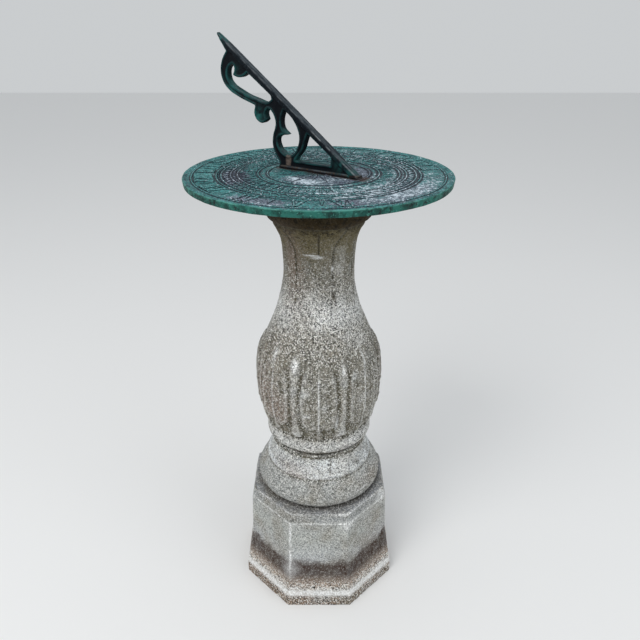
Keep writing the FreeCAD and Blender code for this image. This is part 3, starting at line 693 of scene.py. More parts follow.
def make_base():
    outer = outline((73.5, BASE_LOW), [
        ((85.2, 171.0), (82.6, 161.4)),
        ((64.2, 224.5), [(82.6, 178.5), (76.6, 188.0), (71.2, 198.5), (67.4, 209.5), (65.2, 219.0)]),
        ((63.4, 227.0), (63.2, 225.8)),
        ((61.8, BASE_TOP), (64.8, 229.0)),
    ], 1.1)
    path = np.vstack([[(CORE_RADIUS, BASE_LOW)], outer, [(CORE_RADIUS, BASE_TOP)]])

    def shape(turns, radius, height):
        points = polar_points(turns, radius, height)
        visible = radius > 50
        wave = weathered(points, 21, 18, (0.5, 0.35, 0.14))
        # a hairline crack that leans, a little to the right of the front
        lean = 0.02 * noise(points * np.array([0, 0, 1.0]), 24, 9) + (height - 212) * 0.0012
        crack = ramp(1.1, 0.2, np.abs(from_place(turns, 13 + np.degrees(lean))) * radius)
        crack = crack * between(height, 199, 204, 222, 226)
        shelf = 0.9 * bump(height, 200.0, 2.4) - 0.6 * bump(height, 208.0, 5.0)
        proud = (wave - 0.5 + shelf - crack) * visible
        # painted shade: hollows, the crack and the grooves at 195.8 and 225.8 mm are marked low for the
        # material to darken, and the bell's underside for a painted shadow
        relief = hollows(proud, (3, 5), (8, 12)) - 0.8 * ramp(163, 158, height) - 0.9 * crack
        relief -= 0.9 * bump(height, 225.8, 1.4) + 0.5 * bump(height, 195.8, 1.4)
        pale = spots(turns, height, [
            (26, 211, 16, 9, 0.80), (-12, 209, 26, 6, 0.45), (0, 199.5, 34, 1.6, 0.45),
            (150, 208, 40, 8, 0.4), (42, 174, 10, 1.0, 0.9), (-110, 206, 30, 7, 0.35)])
        pale *= ramp(-0.8, 0.3, noise(points, 25, 5))
        pink = spots(turns, height, [
            (-34, 207, 26, 10, 0.55), (-24, 199, 12, 4, 0.5), (60, 180, 20, 10, 0.3)])
        return proud, {"relief": relief * visible, "wear_and_highlight": np.clip(pale, 0, 0.9) * visible,
                       "stain_and_shade": 0.5 * bump(height, 229.5, 1.2) * visible, "pink": np.clip(pink, 0, 0.7)}

    thing = lathe("base_stone", path, 400, "pedestal", STONE, shape)
    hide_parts("base_ring")


def make_mortar(name, node, low, high, seed):
    outer = reach(node)
    path = outline((CORE_RADIUS, low), [((outer, low),), ((outer, high), (outer - 0.6, (low + high) / 2)),
                                        ((CORE_RADIUS, high),), ((CORE_RADIUS, low),)], 0.8)[:-1]

    def shape(turns, radius, height):
        rough = 0.5 * noise(polar_points(turns, radius, height), seed, 5) - 0.5
        return rough * (radius > outer - 4) * (height > low) * (height < high), {}

    thing = lathe(name, path, 180, "pedestal", MORTAR, shape)
    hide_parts(node)


# ---------------------------------------------------------------- carved shaft
# (radius, height) of the shaft's collar, bulb and neck, up to the seam under the cap
COLLAR_SEAM, CAP_SEAM = (67.8, 258.2), (55.0, 526.5)
SHAFT_CURVE = [
    (71.4, 270.0), (75.6, 290.0), (77.4, 315.0), (76.3, 342.0), (73.2, 366.0), (65.0, 387.0), (55.2, 411.0),
    (47.9, 435.5), (43.9, 457.0), (42.9, 474.0), (44.4, 496.0), (48.0, 514.5),
]
SOCKET_RADIUS = 22.0
# half widths of a leaf and of a tongue, and how far the carving rises, by height
leaf_half = through([(281, 12.5), (284, 17.2), (288.5, 19.9), (297, 21.8), (316, 22.7), (334, 22.2),
                     (350, 20.2), (362, 16.6), (371, 12.0), (378, 7.0), (384, 0.0)])
tongue_half = through([(262, 0.6), (263.5, 4.2), (266, 6.5), (270, 7.3), (275, 6.4), (281, 5.0), (290, 4.3),
                       (305, 4.3), (320, 4.8), (336, 5.8), (350, 6.8), (361, 7.2), (371, 6.0), (383, 0.0)])
leaf_rise = through([(257, 0.6), (263, 2.0), (270, 3.3), (288, 4.6), (316, 4.9), (344, 4.5), (360, 3.4),
                     (372, 1.9), (386, 0.2)])
HALF_LEAF = math.pi / LEAVES
# what lies outside every edge of the carving, in mm
OUTSIDE = -5.0


def leaf_carving(turns, radius, height):
    """How far the leaves, stems and tongues stand over the bulb, in mm."""
    x = from_leaf(turns) * radius
    half = leaf_half(height)
    lobe = 290 - 10.5 * np.sqrt(np.clip(1 - ((x - 11.5) / 11.2) ** 2, 0, 1))
    inside = np.where(height > 385, OUTSIDE, np.minimum((half - x) * 0.95, height - lobe))
    edge = np.maximum(inside, np.where(height < 300, 2.3 - x, OUTSIDE))
    rise = leaf_rise(height)
    # midrib, its two channels, dished lobes and slanting veins
    fade = ramp(372, 350, height)
    midrib = bump(x, 0, 1.1) - 0.8 * bump(x, 3.0, 1.3) * fade
    dish = -0.9 * bump(x, half * 0.56, half * 0.22 + 1.0) * fade
    vein = 0.8 * bump((height - 0.85 * x) % 27.0, 13.5, 2.4) * ramp(1.5, 5.0, x) * fade
    lip = 0.6 * bump(inside, 1.6, 0.9)
    leaf = rise * ramp(-1.3, 1.5, edge) + ramp(0.3, 3.0, inside) * (midrib + dish + vein + lip)
    # tongues between the leaves, with a round knob at their foot
    y = from_leaf(turns + HALF_LEAF) * radius
    width = tongue_half(height)
    in_tongue = np.where((height > 262) & (height < 384), width - y, OUTSIDE)
    crown = 0.4 - 0.9 * (y / np.maximum(width, 1)) ** 2 + 1.3 * bump(height, 269, 5)
    tongue = ramp(-1.0, 1.3, in_tongue) * (0.85 * rise + np.where(in_tongue > 0, crown, -0.4))
    # between their edges the ground is only a narrow groove, deeper under the lobes
    ground = 0.50 * rise * between(height, 283, 292, 340, 364)
    return np.maximum(np.maximum(leaf, tongue), ground)


# the neck's long grooves: degrees from the front, degrees they lean out by at the top, depth
GROOVES = [
    (22.5, 12, 1.0), (67.5, 8, 0.6), (112.5, -8, 0.5), (157.5, 10, 0.9), (-158, -10, 0.6), (-113, -8, 0.8),
    (-82, -8, 0.5), (-38, -13, 0.8),
]
CREASES = [
    (0, 1.0), (45, 0.3), (90, 0.4), (135, 0.8), (180, 0.5), (-135, 0.6), (-90, 0.4), (-60, 0.5),
]


def neck_carving(turns, radius, height):
    """Long grooves between the neck's panels, their arched tops and a short crease in each."""
    cut = np.zeros(turns.shape)
    nearest = np.full(turns.shape, 90.0)
    for place, lean, depth in GROOVES:
        off = np.abs(from_place(turns, place + lean * ramp(500, 530, height))) * radius
        nearest = np.minimum(nearest, off)
        groove = 1.7 * ramp(2.4, 0.2, off) * between(height, 450, 475, 529, 533)
        foot = 1.5 * ramp(4.4, 1.0, np.hypot(off, (height - 443) / 1.8))
        cut = np.maximum(cut, depth * np.maximum(groove, foot))
    for place, depth in CREASES:
        crease = ramp(1.6, 0.1, np.abs(from_place(turns, place)) * radius)
        cut = np.maximum(cut, depth * 1.5 * crease * between(height, 492, 500, 524, 529))
    above = ramp(-1.0, 1.5, height - 527.5 + 0.02 * nearest ** 2) * ramp(534, 531, height)
    belly = 0.9 * ramp(1.0, 12.0, nearest) * between(height, 445, 475, 515, 528)
    return belly - cut - 0.7 * above


def make_shaft():
    bore = [(0.0, CORE_TOP), (CORE_RADIUS, CORE_TOP), (CORE_RADIUS, SHAFT_LOW)]
    foot = outline((61.8, SHAFT_LOW), [
        ((66.4, 236.6), (63.4, 235.2)), ((70.2, 243.5), (69.4, 239.4)), ((70.2, 252.5),),
        (COLLAR_SEAM, (69.6, 256.4))], 1.2)[:-1]
    curve = outline(COLLAR_SEAM, [(CAP_SEAM, SHAFT_CURVE)], 1.35)
    head = outline(CAP_SEAM, [((57.4, 531.5),), ((65.0, 545.0), (63.4, 538.0)), ((65.0, 564.0),),
                              ((60.8, SHAFT_TOP), (63.8, 570.6))], 1.6)[1:]
    socket = [(SOCKET_RADIUS, SHAFT_TOP), (SOCKET_RADIUS, SLEEVE_TOP), (SLEEVE_RADIUS, SLEEVE_TOP),
              (SLEEVE_RADIUS, SLEEVE_LOW), (0.0, SLEEVE_LOW)]
    path = np.vstack([bore, foot, curve, head, socket])

    def shape(turns, radius, height):
        points = polar_points(turns, radius, height)
        visible = radius > 40
        carving = leaf_carving(turns, radius, height) * (height > 257.5) * (height < 390)
        carving += neck_carving(turns, radius, height) * (height > 432) * (height < 533.5)
        wave = weathered(points, 31, 16, (0.45, 0.35, 0.16))
        cap = ramp(532, 540, height) * 0.5 * noise(points, 37, 4)
        soft = 1 - 0.25 * ramp(0.1, 0.6, noise(points, 34, 22))
        proud = (carving * soft + wave + cap - 0.5) * visible
        # hollows are marked low for the material's painted shade; the seams under the collar and the cap are
        # marked as dark lines
        relief = hollows(proud, (3, 5), (9, 12)) * visible
        relief *= 1 - 0.65 * between(height, 348, 366, 385, 395)
        relief -= 0.9 * bump(height, 258.8, 1.5) + 0.7 * bump(height, 532.5, 2.0)
        return proud, shaft_looks(points, turns, height, relief, visible)

    thing = lathe("shaft_stone", path, 360, "pedestal", STONE, shape, False)
    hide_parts("baluster_shaft")


def shaft_looks(points, turns, height, relief, visible):
    """Pale collar and shoulder, scratches, run stains, pinkish side of the bulb; painted highlights on the
    carving, painted shade in its grooves.
    """
    # worn pale patches; the small spots among the leaves are painted highlights on tongues and crests
    pale = spots(turns, height, [
        (7, 421, 15, 15, 0.85), (34, 412, 14, 18, 0.45), (54, 386, 10, 12, 0.42), (34, 482, 9, 36, 0.42),
        (-6, 470, 5, 20, 0.22), (-14, 436, 9, 16, 0.30), (170, 412, 30, 22, 0.5), (-120, 400, 26, 20, 0.4),
        (105, 420, 22, 18, 0.4), (-23, 369, 3.4, 9, 0.95), (-47, 374, 2.5, 8, 0.7), (47, 370, 1.6, 12, 0.6),
        (23, 362, 1.8, 6, 0.9), (-11, 332, 4, 4, 0.5), (-12, 303, 8, 3, 0.8), (-9, 335, 5, 3, 0.6),
        (-16, 322, 2, 8, 0.5), (17, 290, 1.6, 10, 0.6), (39, 318, 5, 8, 0.35)])
    # scratches on the neck, and painted highlights on the tongues' tops
    scratch_and_highlight = spots(turns, height, [
        (-2, 496.5, 6.5, 1.3, 1.8), (-12, 499.0, 8.0, 0.9, 1.3), (22, 480.5, 2.0, 2.6, 1.8),
        (-23, 368, 3.4, 8, 0.75), (-47, 374, 2.2, 9, 0.6), (23, 362, 1.3, 6, 0.9), (47, 366, 1.3, 12, 0.6),
        (17, 288, 1.2, 10, 0.7)])
    # the midribs painted paler as wear with painted highlight; the collar's band and the tongues' knobs worn
    # pale
    rib = from_leaf(turns) * 76.0
    wear_and_highlight = 0.95 * bump(rib, 0, 1.0) * between(height, 264, 285, 345, 372) + 0.55 * bump(height, 248.5, 6.5)
    wear_and_highlight += 0.75 * ramp(8.5, 3.0, np.hypot(from_leaf(turns + HALF_LEAF) * 72.0, height - 268.5))
    patch = ramp(-0.5, 0.35, noise(points, 35, 7))
    wear_and_highlight = pale * patch + wear_and_highlight * (0.55 + 0.45 * patch) + scratch_and_highlight
    # painted shade beside each midrib in the leaves' dishes; then stains, and painted shade in the neck's
    # grooves and creases
    stain_and_shade = 0.45 * bump(rib, 9.0, 4.0) * between(height, 300, 330, 356, 374)
    stain_and_shade *= ramp(0.0, 0.6, noise(points, 36, 30))
    stain_and_shade += spots(turns, height, [
        (23, 441, 4.0, 9, 0.75), (23, 464, 1.6, 18, 0.65), (0, 518, 1.2, 8, 0.7), (-46, 512, 3.0, 12, 0.5),
        (-60, 385, 8, 6, 0.4), (14, 262, 5, 5, 0.3)])
    pink = spots(turns, height, [
        (-40, 300, 16, 28, 0.75), (-62, 320, 18, 40, 0.75), (-40, 470, 20, 50, 0.50),
        (-45, 500, 12, 25, 0.35), (100, 330, 30, 40, 0.4), (30, 246, 8, 6, 0.25)])
    return {"relief": relief, "wear_and_highlight": np.clip(wear_and_highlight, 0, 0.95) * visible,
            "stain_and_shade": np.clip(stain_and_shade, 0, 0.9) * visible, "pink": np.clip(pink, 0, 0.8) * visible}


# ---------------------------------------------------------------- dial plate
RINGS = [58.0, 68.5, 91.4, 99.0, 109.7, 115.0, 142.5]
RIM_INNER = 147.0
NUMERAL_LOW, NUMERAL_HIGH = 118.6, 139.4
# (distance from a ring's middle, height over the plate's floor) across half a ring and its groove
RING_SECTION = [(2.4, 0.0), (1.8, -0.10), (1.35, -0.32), (0.9, -0.22), (0.62, 0.60), (0.25, 0.75)]
# weathering of the upper face: (degrees from the front, radius, width, depth, strength)
RUBBED = [
    (-20, 34, 50, 22, 0.85), (30, 40, 60, 24, 0.95), (-74, 92, 20, 13, 0.8), (90, 42, 45, 22, 0.9),
    (160, 36, 60, 22, 0.4), (-26, 134, 24, 12, 0.80), (-84, 100, 16, 12, 0.75), (-62, 108, 12, 9, 0.45),
    (20, 132, 24, 14, 0.55), (48, 130, 22, 16, 0.65), (62, 98, 20, 24, 0.45), (0, 84, 30, 14, 0.30),
    (100, 92, 24, 16, 0.40), (150, 120, 40, 14, 0.35), (0, 110, 60, 30, 0.16), (-34, 130, 14, 9, 0.7),
]
SMOOTH_TEAL = [
    (-66, 130, 34, 10, 0.9), (-104, 28, 28, 16, 1.0), (-110, 128, 40, 12, 0.6), (-5, 134, 10, 7, 0.5),
    (62, 75, 60, 5, 0.4), (-60, 63, 60, 3, 0.6), (20, 63, 60, 3, 0.4),
]
# chalky crust, with painted sky sheen mostly on the right and painted glints
CHALK_AND_SHEEN = [
    (-42, 38, 26, 7, 1.15), (-14, 46, 22, 8, 1.15), (30, 34, 40, 14, 0.80), (10, 84, 40, 24, 0.50),
    (44, 100, 30, 22, 0.60), (38, 128, 36, 16, 0.55), (70, 66, 20, 8, 0.55), (-28, 137, 24, 6, 0.62),
    (20, 110, 14, 3, 1.10), (66, 136, 24, 10, 0.30), (5, 62, 30, 8, 0.50), (95, 100, 34, 24, 0.42),
    (180, 100, 90, 50, 0.45), (-70, 100, 50, 18, 0.25), (-60, 60, 40, 8, 0.30),
]
# (same form) where dirt and painted shade lie beside the rings
DIRT_AND_SHADE = [
    (70, 63, 70, 14, 1.0), (-70, 96, 30, 20, 0.8), (120, 100, 50, 24, 0.8), (0, 64, 60, 10, 0.6),
    (40, 112, 40, 12, 0.5), (-130, 90, 60, 40, 0.4),
]
# the bare wedge inside one worn figure, in degrees from the front, and its point's radius
WEDGE, WEDGE_POINT = 15.5, 140.5


def dial_looks(points, relief):
    """Weathering of the plate's upper face and of the marks on it, by place on the plan, with painted shade
    beside the rings and painted sheen in the chalky places.
    """
    x, y = points[..., 0], points[..., 1]
    turns, radius = np.arctan2(y, x), np.hypot(x, y)
    smooth = spots(turns, radius, SMOOTH_TEAL)
    calm = np.clip(smooth, 0, 1)
    # dark dirt and painted shade on both sides of the rings
    ring_gap = np.min([np.abs(radius - ring) for ring in RINGS[:-1]], 0)
    dirt_and_shade = between(ring_gap, 0.6, 1.0, 2.2, 3.4) * np.clip(spots(turns, radius, DIRT_AND_SHADE), 0, 1)
    relief = relief - 1.6 * dirt_and_shade * ramp(-0.7, 0.0, noise(points, 48, 7))
    from_wedge = np.abs(from_place(turns, WEDGE)) * radius
    wedge = ramp(0.8, -0.4, from_wedge - 0.32 * (WEDGE_POINT - radius)) * ramp(118.0, 119.5, radius)
    # rust beside the gnomon's foot
    along = x * math.cos(NORTH) + y * math.sin(NORTH)
    across = np.abs(y * math.cos(NORTH) - x * math.sin(NORTH))
    beside = ramp(10.5, 6.5, across + 1.5 * noise(points, 46, 6)) * between(along, -68, -60, 53, 58)
    return {"relief": relief, "rust": 0.8 * beside,
            "bare": np.clip(spots(turns, radius, RUBBED) - smooth + 1.5 * wedge, -1, 1),
            "chalk_and_sheen": np.clip(spots(turns, radius, CHALK_AND_SHEEN) - 0.25 * calm - wedge, -1, 1.15),
            "busy": np.clip(0.55 + 0.45 * ramp(122, 112, radius) - 0.8 * calm, 0, 1)}


def plate_rows():
    """(radius, height) rows of the upper face from the raised rim's foot to the centre."""
    rows = [(ring + side * off, rise) for ring in RINGS for off, rise in RING_SECTION for side in (-1, 1)]
    rows += [(radius, 0.0) for radius in np.arange(1.6, RIM_INNER - 2.0, 1.65)
             if min(abs(radius - ring) for ring in RINGS) > 2.9]
    rows += [(RIM_INNER - 1.2, 0.0), (RIM_INNER, 0.0), (0.0, 0.0)]
    return np.array(sorted(rows, reverse=True)) + [0.0, PLATE_FLOOR]


def make_plate():
    hollow, socket = DIAL_LOW + 2.5, 577.5
    boss, boss_radius = 561.0, 18.0
    under = outline((0.0, socket), [
        ((6.0, socket),), ((6.0, boss),), ((boss_radius - 1.0, boss),), ((boss_radius, boss + 1.0),),
        ((boss_radius, DIAL_LOW - 1.0),), ((19.0, DIAL_LOW), (18.3, DIAL_LOW - 0.3)), ((74.0, DIAL_LOW),),
        ((76.0, hollow),), ((145.0, hollow),), ((146.5, DIAL_LOW),), ((150.0, DIAL_LOW),)], 5.0)
    side = outline((150.0, DIAL_LOW), [
        ((151.7, DIAL_LOW + 1.2), (151.2, DIAL_LOW + 0.2)), ((DIAL_RADIUS, DIAL_TOP - 1.3),),
        ((DIAL_RADIUS - 1.2, DIAL_TOP), (DIAL_RADIUS - 0.3, DIAL_TOP - 0.3))], 0.8)
    rim = outline((DIAL_RADIUS - 1.2, DIAL_TOP), [((RIM_INNER + 0.7, DIAL_TOP),)], 1.1)
    path = np.vstack([under[:-1], side[:-1], rim, plate_rows()])

    def shape(turns, radius, height):
        points = polar_points(turns, radius, height)
        upper = height > DIAL_LOW + 3.0
        outer = radius > DIAL_RADIUS - 2.6
        pits = np.minimum(noise(points, 41, 3.2, 2) + 0.30, 0) * 0.55
        swell = 0.12 * noise(points, 42, 9) + 0.16 * noise(points, 47, 4.2) - 0.22
        uneven = np.where(outer, 0.30 * noise(points, 43, 13) - 0.28, 0)
        proud = ((pits + swell) * upper * ~outer + uneven) * (radius > 20)
        edge = 1.0 * (outer & (height < DIAL_TOP - 0.5) & (height > DIAL_LOW - 0.5))
        over = height - PLATE_FLOOR
        relief = np.clip(np.clip(over / 0.75, -1, 1) * 2 - 0.2 * (over < 0.1), -1, 0.6) - 0.5 * (over < -0.15)
        relief = np.where(radius > RIM_INNER, 0.9 * noise(points, 49, 6) - 0.15, relief + pits)
        looks = dial_looks(points, np.where(edge > 0, 0.3, relief))
        looks.update({key: looks[key] * upper for key in ("bare", "chalk_and_sheen", "rust", "busy")})
        # painted highlight along the rim's top edge
        lip = bump(height, DIAL_TOP - 0.6, 0.8) * (radius > DIAL_RADIUS - 1.6)
        lip = lip * ramp(-0.5, 0.2, noise(points, 44, 14)) * ramp(-0.6, 0.2, noise(points, 45, 3))
        return proud, {**looks, "edge": edge, "lip": lip}

    thing = lathe("dial_plate_cast", path, 450, "dial_head", VERDIGRIS, shape, False)
    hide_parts("dial_plate")


def pushed(corners, inward):
    """Corners of a closed anticlockwise outline, each moved inward along its mitre."""
    normals = []
    for step in (corners - np.roll(corners, 1, 0), np.roll(corners, -1, 0) - corners):
        normal = np.stack([-step[:, 1], step[:, 0]], 1)
        normals.append(normal / np.linalg.norm(normal, axis=1, keepdims=True))
    mitre = normals[0] + normals[1]
    mitre /= np.maximum((mitre * normals[0]).sum(1, keepdims=True), 0.35)
    return corners + mitre * inward


class Marks:
    """Collects raised marks of the dial into one mesh."""

    def __init__(self):
        self.points, self.faces, self.relief = [], [], []

    def add(self, rings):
        """Mark through (ring of plan points, height over the plate's floor, relief) rows."""
        points = [[(x, y, PLATE_FLOOR + height) for x, y in ring] for ring, height, relief in rings]
        points, faces = stacked(points, len(self.points))
        self.points += points
        self.faces += faces
        self.relief += [relief for ring, height, relief in rings for corner in ring]

    def polar(self, corners, angle, rise=0.75, slope=0.22, surround=0.8):
        """Mark in a shallow surround painted dark as shade, from (across, outward) corners along the radius
        at an angle.
        """
        c, s = math.cos(angle), math.sin(angle)
        corners = np.array([(out * c - across * s, out * s + across * c) for across, out in corners])
        x, y = corners.T
        if (x * np.roll(y, -1) - np.roll(x, -1) * y).sum() < 0:
            corners = corners[::-1]
        wide = pushed(corners, -surround)
        self.add([(wide, -0.35, -0.5), (wide, 0.03, -0.5), (corners, 0.06, -1.0),
                  (pushed(corners, slope), rise, 0.9)])

    def build(self, name):
        looks = dial_looks(np.array(self.points), np.array(self.relief))
        make_object(name, self.points, self.faces, "dial_head", VERDIGRIS,
                    smooth=False, attributes=looks)


def hour_direction(hour):
    """Direction of an hour line on the plate, in radians from +X."""
    sun = math.radians(15.0 * (hour - 12))
    return NORTH - math.atan2(math.sin(LATITUDE) * math.sin(sun), math.cos(sun))


def roman(number):
    text = ""
    for value, letters in ((10, "X"), (9, "IX"), (5, "V"), (4, "IV"), (1, "I")):
        while number >= value:
            text += letters
            number -= value
    return text


def stroke(from_x, to_x, width, low, high):
    """(across, outward) corners of a straight stroke, upright where both ends have one place across."""
    half = width / 2
    return [(from_x - half, low), (from_x + half, low), (to_x + half, high), (to_x - half, high)]


def numeral_strokes(text, narrow):
    """Outlines, as (across, outward) corners, of Roman figures whose feet are towards the rim."""
    wide = {"I": 6.0 * narrow, "V": 16.0 * narrow, "X": 14.0 * narrow}
    thick, thin = 3.3 * narrow, 1.8 * narrow
    total = sum(wide[letter] for letter in text)
    place, lines = -total / 2, []
    for letter in text:
        left, right = place + 1.0 * narrow, place + wide[letter] - 1.0 * narrow
        middle = (left + right) / 2
        lines += {"I": [(middle, middle, thick)],
                  "V": [(left + 1.2, middle - 0.2, thick), (right - 1.0, middle + 0.4, thin)],
                  "X": [(left + 1.0, right - 1.0, thick), (right - 1.0, left + 1.0, thin)]}[letter]
        place += wide[letter]
    bars = [stroke(0.0, 0.0, total, edge, edge + 1.1) for edge in (NUMERAL_LOW, NUMERAL_HIGH - 1.1)]
    return [stroke(*line, NUMERAL_LOW, NUMERAL_HIGH) for line in lines] + bars


def make_numerals():
    marks = Marks()
    for hour in range(4, 21):
        text = roman(hour if hour <= 12 else hour - 12)
        for corners in numeral_strokes(text, 0.66 if abs(hour - 12) <= 3 else 0.95):
            # seen from outside the rim the figures read from left to right
            marks.polar([(-across, out) for across, out in corners], hour_direction(hour))
    marks.build("dial_numerals")


def make_hour_lines():
    marks = Marks()
    for quarter in range(4 * 4, 20 * 4 + 1):
        angle = hour_direction(quarter / 4)
        inner = (70.6, 80.0, 75.0, 80.0)[quarter % 4]
        width = 1.8 if quarter % 4 == 0 else 1.0
        marks.polar(stroke(0.0, 0.0, width, inner, 89.0), angle, surround=0.6)
        marks.polar(stroke(0.0, 0.0, width, 111.6, 113.4), angle, surround=0.5)
        if quarter % 4 == 2:
            marks.polar([(-1.6, 121.0), (1.6, 121.0), (0.2, 134.0), (-0.2, 134.0)], angle)
    marks.build("dial_hour_lines")


def make_bands():
    """Dotted, slashed and leafy bands between the rings, all the way round."""
    marks = Marks()
    dots, slashes, leaves = 84, 66, 54
    dot = [(1.2 * math.cos(a), 95.2 + 1.2 * math.sin(a)) for a in np.arange(6) * math.pi / 3]
    for i in range(dots):
        marks.polar(dot, FULL_TURN * i / dots, rise=0.6, slope=0.4)
    slash = [(-3.2, 101.6), (-1.4, 101.6), (3.2, 107.2), (1.4, 107.2)]
    for i in range(slashes):
        marks.polar(slash, FULL_TURN * (i + 0.5) / slashes, rise=0.65, surround=0.6)
    for i in range(leaves):
        lean = 1.6 if i % 2 else -1.6
        leaf = [(-1.0, 72.0), (lean + 1.2, 77.0), (lean * 0.4, 83.5), (lean - 1.2, 78.0)]
        marks.polar(leaf, FULL_TURN * i / leaves + 0.02, rise=0.5, surround=0.5)
    marks.build("dial_bands")


def make_rose():
    """Sixteen-point compass rose: ridged points, long ones on the dial's own north and quarters."""
    marks = Marks()
    waist = 20.0
    for i in range(16):
        angle = NORTH + FULL_TURN * i / 16
        longest = (54.5, 38.0, 49.0, 38.0)[i % 4]
        half = 0.20 if i % 4 == 0 else 0.15
        corners = np.array([(3.0, 0.0), (waist, -half), (longest, 0.0), (waist, half)])
        middle = (waist, 0.0)
        rings = []
        for scale, height, relief in ((1.0, -0.35, -1.0), (1.0, 0.03, -1.0), (0.93, 0.10, -0.7)):
            out, aside = (corners - middle).T * scale
            rings.append((polar_points(angle + aside, waist + out, 0 * out)[:, :2], height, relief))
        marks.add(rings + [([(waist * math.cos(angle), waist * math.sin(angle))], 0.62, 0.5)])
    marks.build("dial_rose")


# ---------------------------------------------------------------- gnomon
STYLE_RISE, STYLE_DEPTH = 40.9, 5.4
TIP, TAPER = 136.7, 125.0
FOOT_SOUTH, FOOT_NORTH, FOOT_HEIGHT, FOOT_HALF = -54.0, 52.0, 3.0, 5.75
FOOT_MEETS_STYLE = -STYLE_RISE / math.tan(LATITUDE)
# how far the smoothed casting is swelled back out
SWELL = 0.36
style_half = through([(-56, 4.6), (-40, 5.2), (0, 5.6), (60, 5.65), (110, 5.1), (128, 4.2), (138, 2.4)])


def style_line(along):
    """Height of the style's upper edge over the plate's floor."""
    return STYLE_RISE + along * math.tan(LATITUDE)


# the web's outer edge and its three openings, as (start, segments) in the gnomon's own plane
GNOMON_LOOPS = [
    ((FOOT_MEETS_STYLE, 0.0), [
        ((FOOT_NORTH, 0.0),),
        ((52.4, 8.0), (51.6, 4.0)),
        ((59.3, 38.4), [(57.7, 15.6), (61.0, 28.0)]),
        ((68.6, 52.4), [(56.0, 48.6), (58.4, 58.0), (66.4, 64.6), (70.7, 58.6)]),
        ((84.8, 65.6), [(75.8, 48.2), (83.4, 51.6), (86.3, 58.6)]),
        ((85.3, 67.2),),
        ((123.8, 123.0), [(112.0, 76.2), (127.0, 85.4), (133.6, 101.0), (128.5, 116.9)]),
        ((TIP - 0.6, style_line(TIP - 0.6) - 1.6),),
        ((FOOT_MEETS_STYLE, 0.0),),
    ]),
    ((60.9, 75.0), [
        ((62.3, style_line(62.3) - 7.7),),
        ((94.2, 101.6),),
        ((115.6, 98.0), [(101.0, 97.2), (108.8, 96.0)]),
        ((115.6, 110.2), [(113.2, 102.4), (113.3, 107.6)]),
        ((60.9, 75.0), [(121.6, 106.2), (124.1, 97.3), (121.3, 90.4), (109.3, 82.8), (94.0, 76.7),
                        (78.8, 72.9), (66.4, 71.4)]),
    ]),
    ((44.2, 64.8), [
        ((39.2, 38.4), [(48.6, 53.3), (46.8, 44.0)]),
        ((44.2, 64.8), [(48.2, 36.9), (53.6, 33.3), (54.2, 28.7), (51.0, 21.2), (43.4, 15.6), (34.0, 16.2),
                        (27.2, 23.4), (23.5, 36.9), (26.6, 47.6), (36.8, 60.0)]),
    ]),
    ((12.2, 42.0), [
        ((29.6, 10.2), [(16.4, 31.8), (20.1, 22.6), (26.2, 15.2)]),
        ((-18.4, 10.2),),
        ((-19.0, style_line(-19.0) - 7.1),),
        ((12.2, 42.0),),
    ]),
]
# (along, height, radius, strength) of the greenest places
GREEN_SPOTS = [
    (83, 57, 9, 1.1), (66, 60, 6, 0.5), (131, 138, 9, 0.9), (118, 84, 14, 0.6), (112, 103, 7, 0.5),
    (-30, 12, 9, 0.6), (-44, 5, 7, 0.5), (45, 36, 7, 0.5), (97, 79, 10, 0.5), (27, 14, 5, 0.5),
]


def edge_distance(points, loops):
    """Distance of each point from the nearest edge of any loop."""
    start, end = np.vstack(loops), np.vstack([np.roll(loop, -1, 0) for loop in loops])
    along = end - start
    length = (along ** 2).sum(1) + 1e-12
    nearest = []
    for part in np.array_split(points[:, None, :], len(points) // 400 + 1):
        share = np.clip(((part - start) * along).sum(2) / length, 0, 1)
        nearest.append(np.linalg.norm(part - (start + share[..., None] * along), axis=2).min(1))
    return np.concatenate(nearest)


def inside_loops(points, loops):
    x, y = points[:, 0:1], points[:, 1:2]
    crossings = 0
    for loop in loops:
        (ax, ay), (bx, by) = loop.T, np.roll(loop, -1, 0).T
        met = ax + (y - ay) * (bx - ax) / (by - ay + 1e-12)
        crossings = crossings + (((ay > y) != (by > y)) & (x < met)).sum(1)
    return crossings % 2 == 1


def web_mesh(loops, spacing):
    """Pierced web: rounded, raised borders round a sunk channel, on both faces."""
    low, high = loops[0].min(0), loops[0].max(0)
    xs, ys = np.arange(low[0], high[0], spacing), np.arange(low[1], high[1], spacing * 0.87)
    lattice = np.array([(x + (j % 2) * spacing / 2, y) for j, y in enumerate(ys) for x in xs])
    lattice = lattice[inside_loops(lattice, loops)]
    lattice = lattice[edge_distance(lattice, loops) > 0.55 * spacing]
    edges = []
    for loop in loops:
        start = len(edges)
        edges += [(start + i, start + (i + 1) % len(loop)) for i in range(len(loop))]
    everything = [Vector(point) for point in np.vstack([*loops, lattice]).tolist()]
    result = delaunay_2d_cdt(everything, edges, [], 0, 1e-6)
    flat, triangles = np.array([tuple(v) for v in result[0]]), np.array(result[2])
    triangles = triangles[inside_loops(flat[triangles].mean(1), loops)].tolist()
    inner = edge_distance(flat, loops)
    half = 3.6 + 1.05 * np.sqrt(np.clip(1 - (1 - np.clip(inner / 1.1, 0, 1)) ** 2, 0, 1))
    half -= 1.25 * ramp(1.7, 2.7, inner)
    count = len(flat)
    points = np.vstack([np.stack([flat[:, 0], side * half, flat[:, 1]], 1) for side in (-1, 1)])
    faces = triangles + [(a + count, c + count, b + count) for a, b, c in triangles]
    used = {pair for a, b, c in triangles for pair in ((a, b), (b, c), (c, a))}
    faces += [(q, p, p + count, q + count) for p, q in sorted(used) if (q, p) not in used]
    return points.tolist(), faces


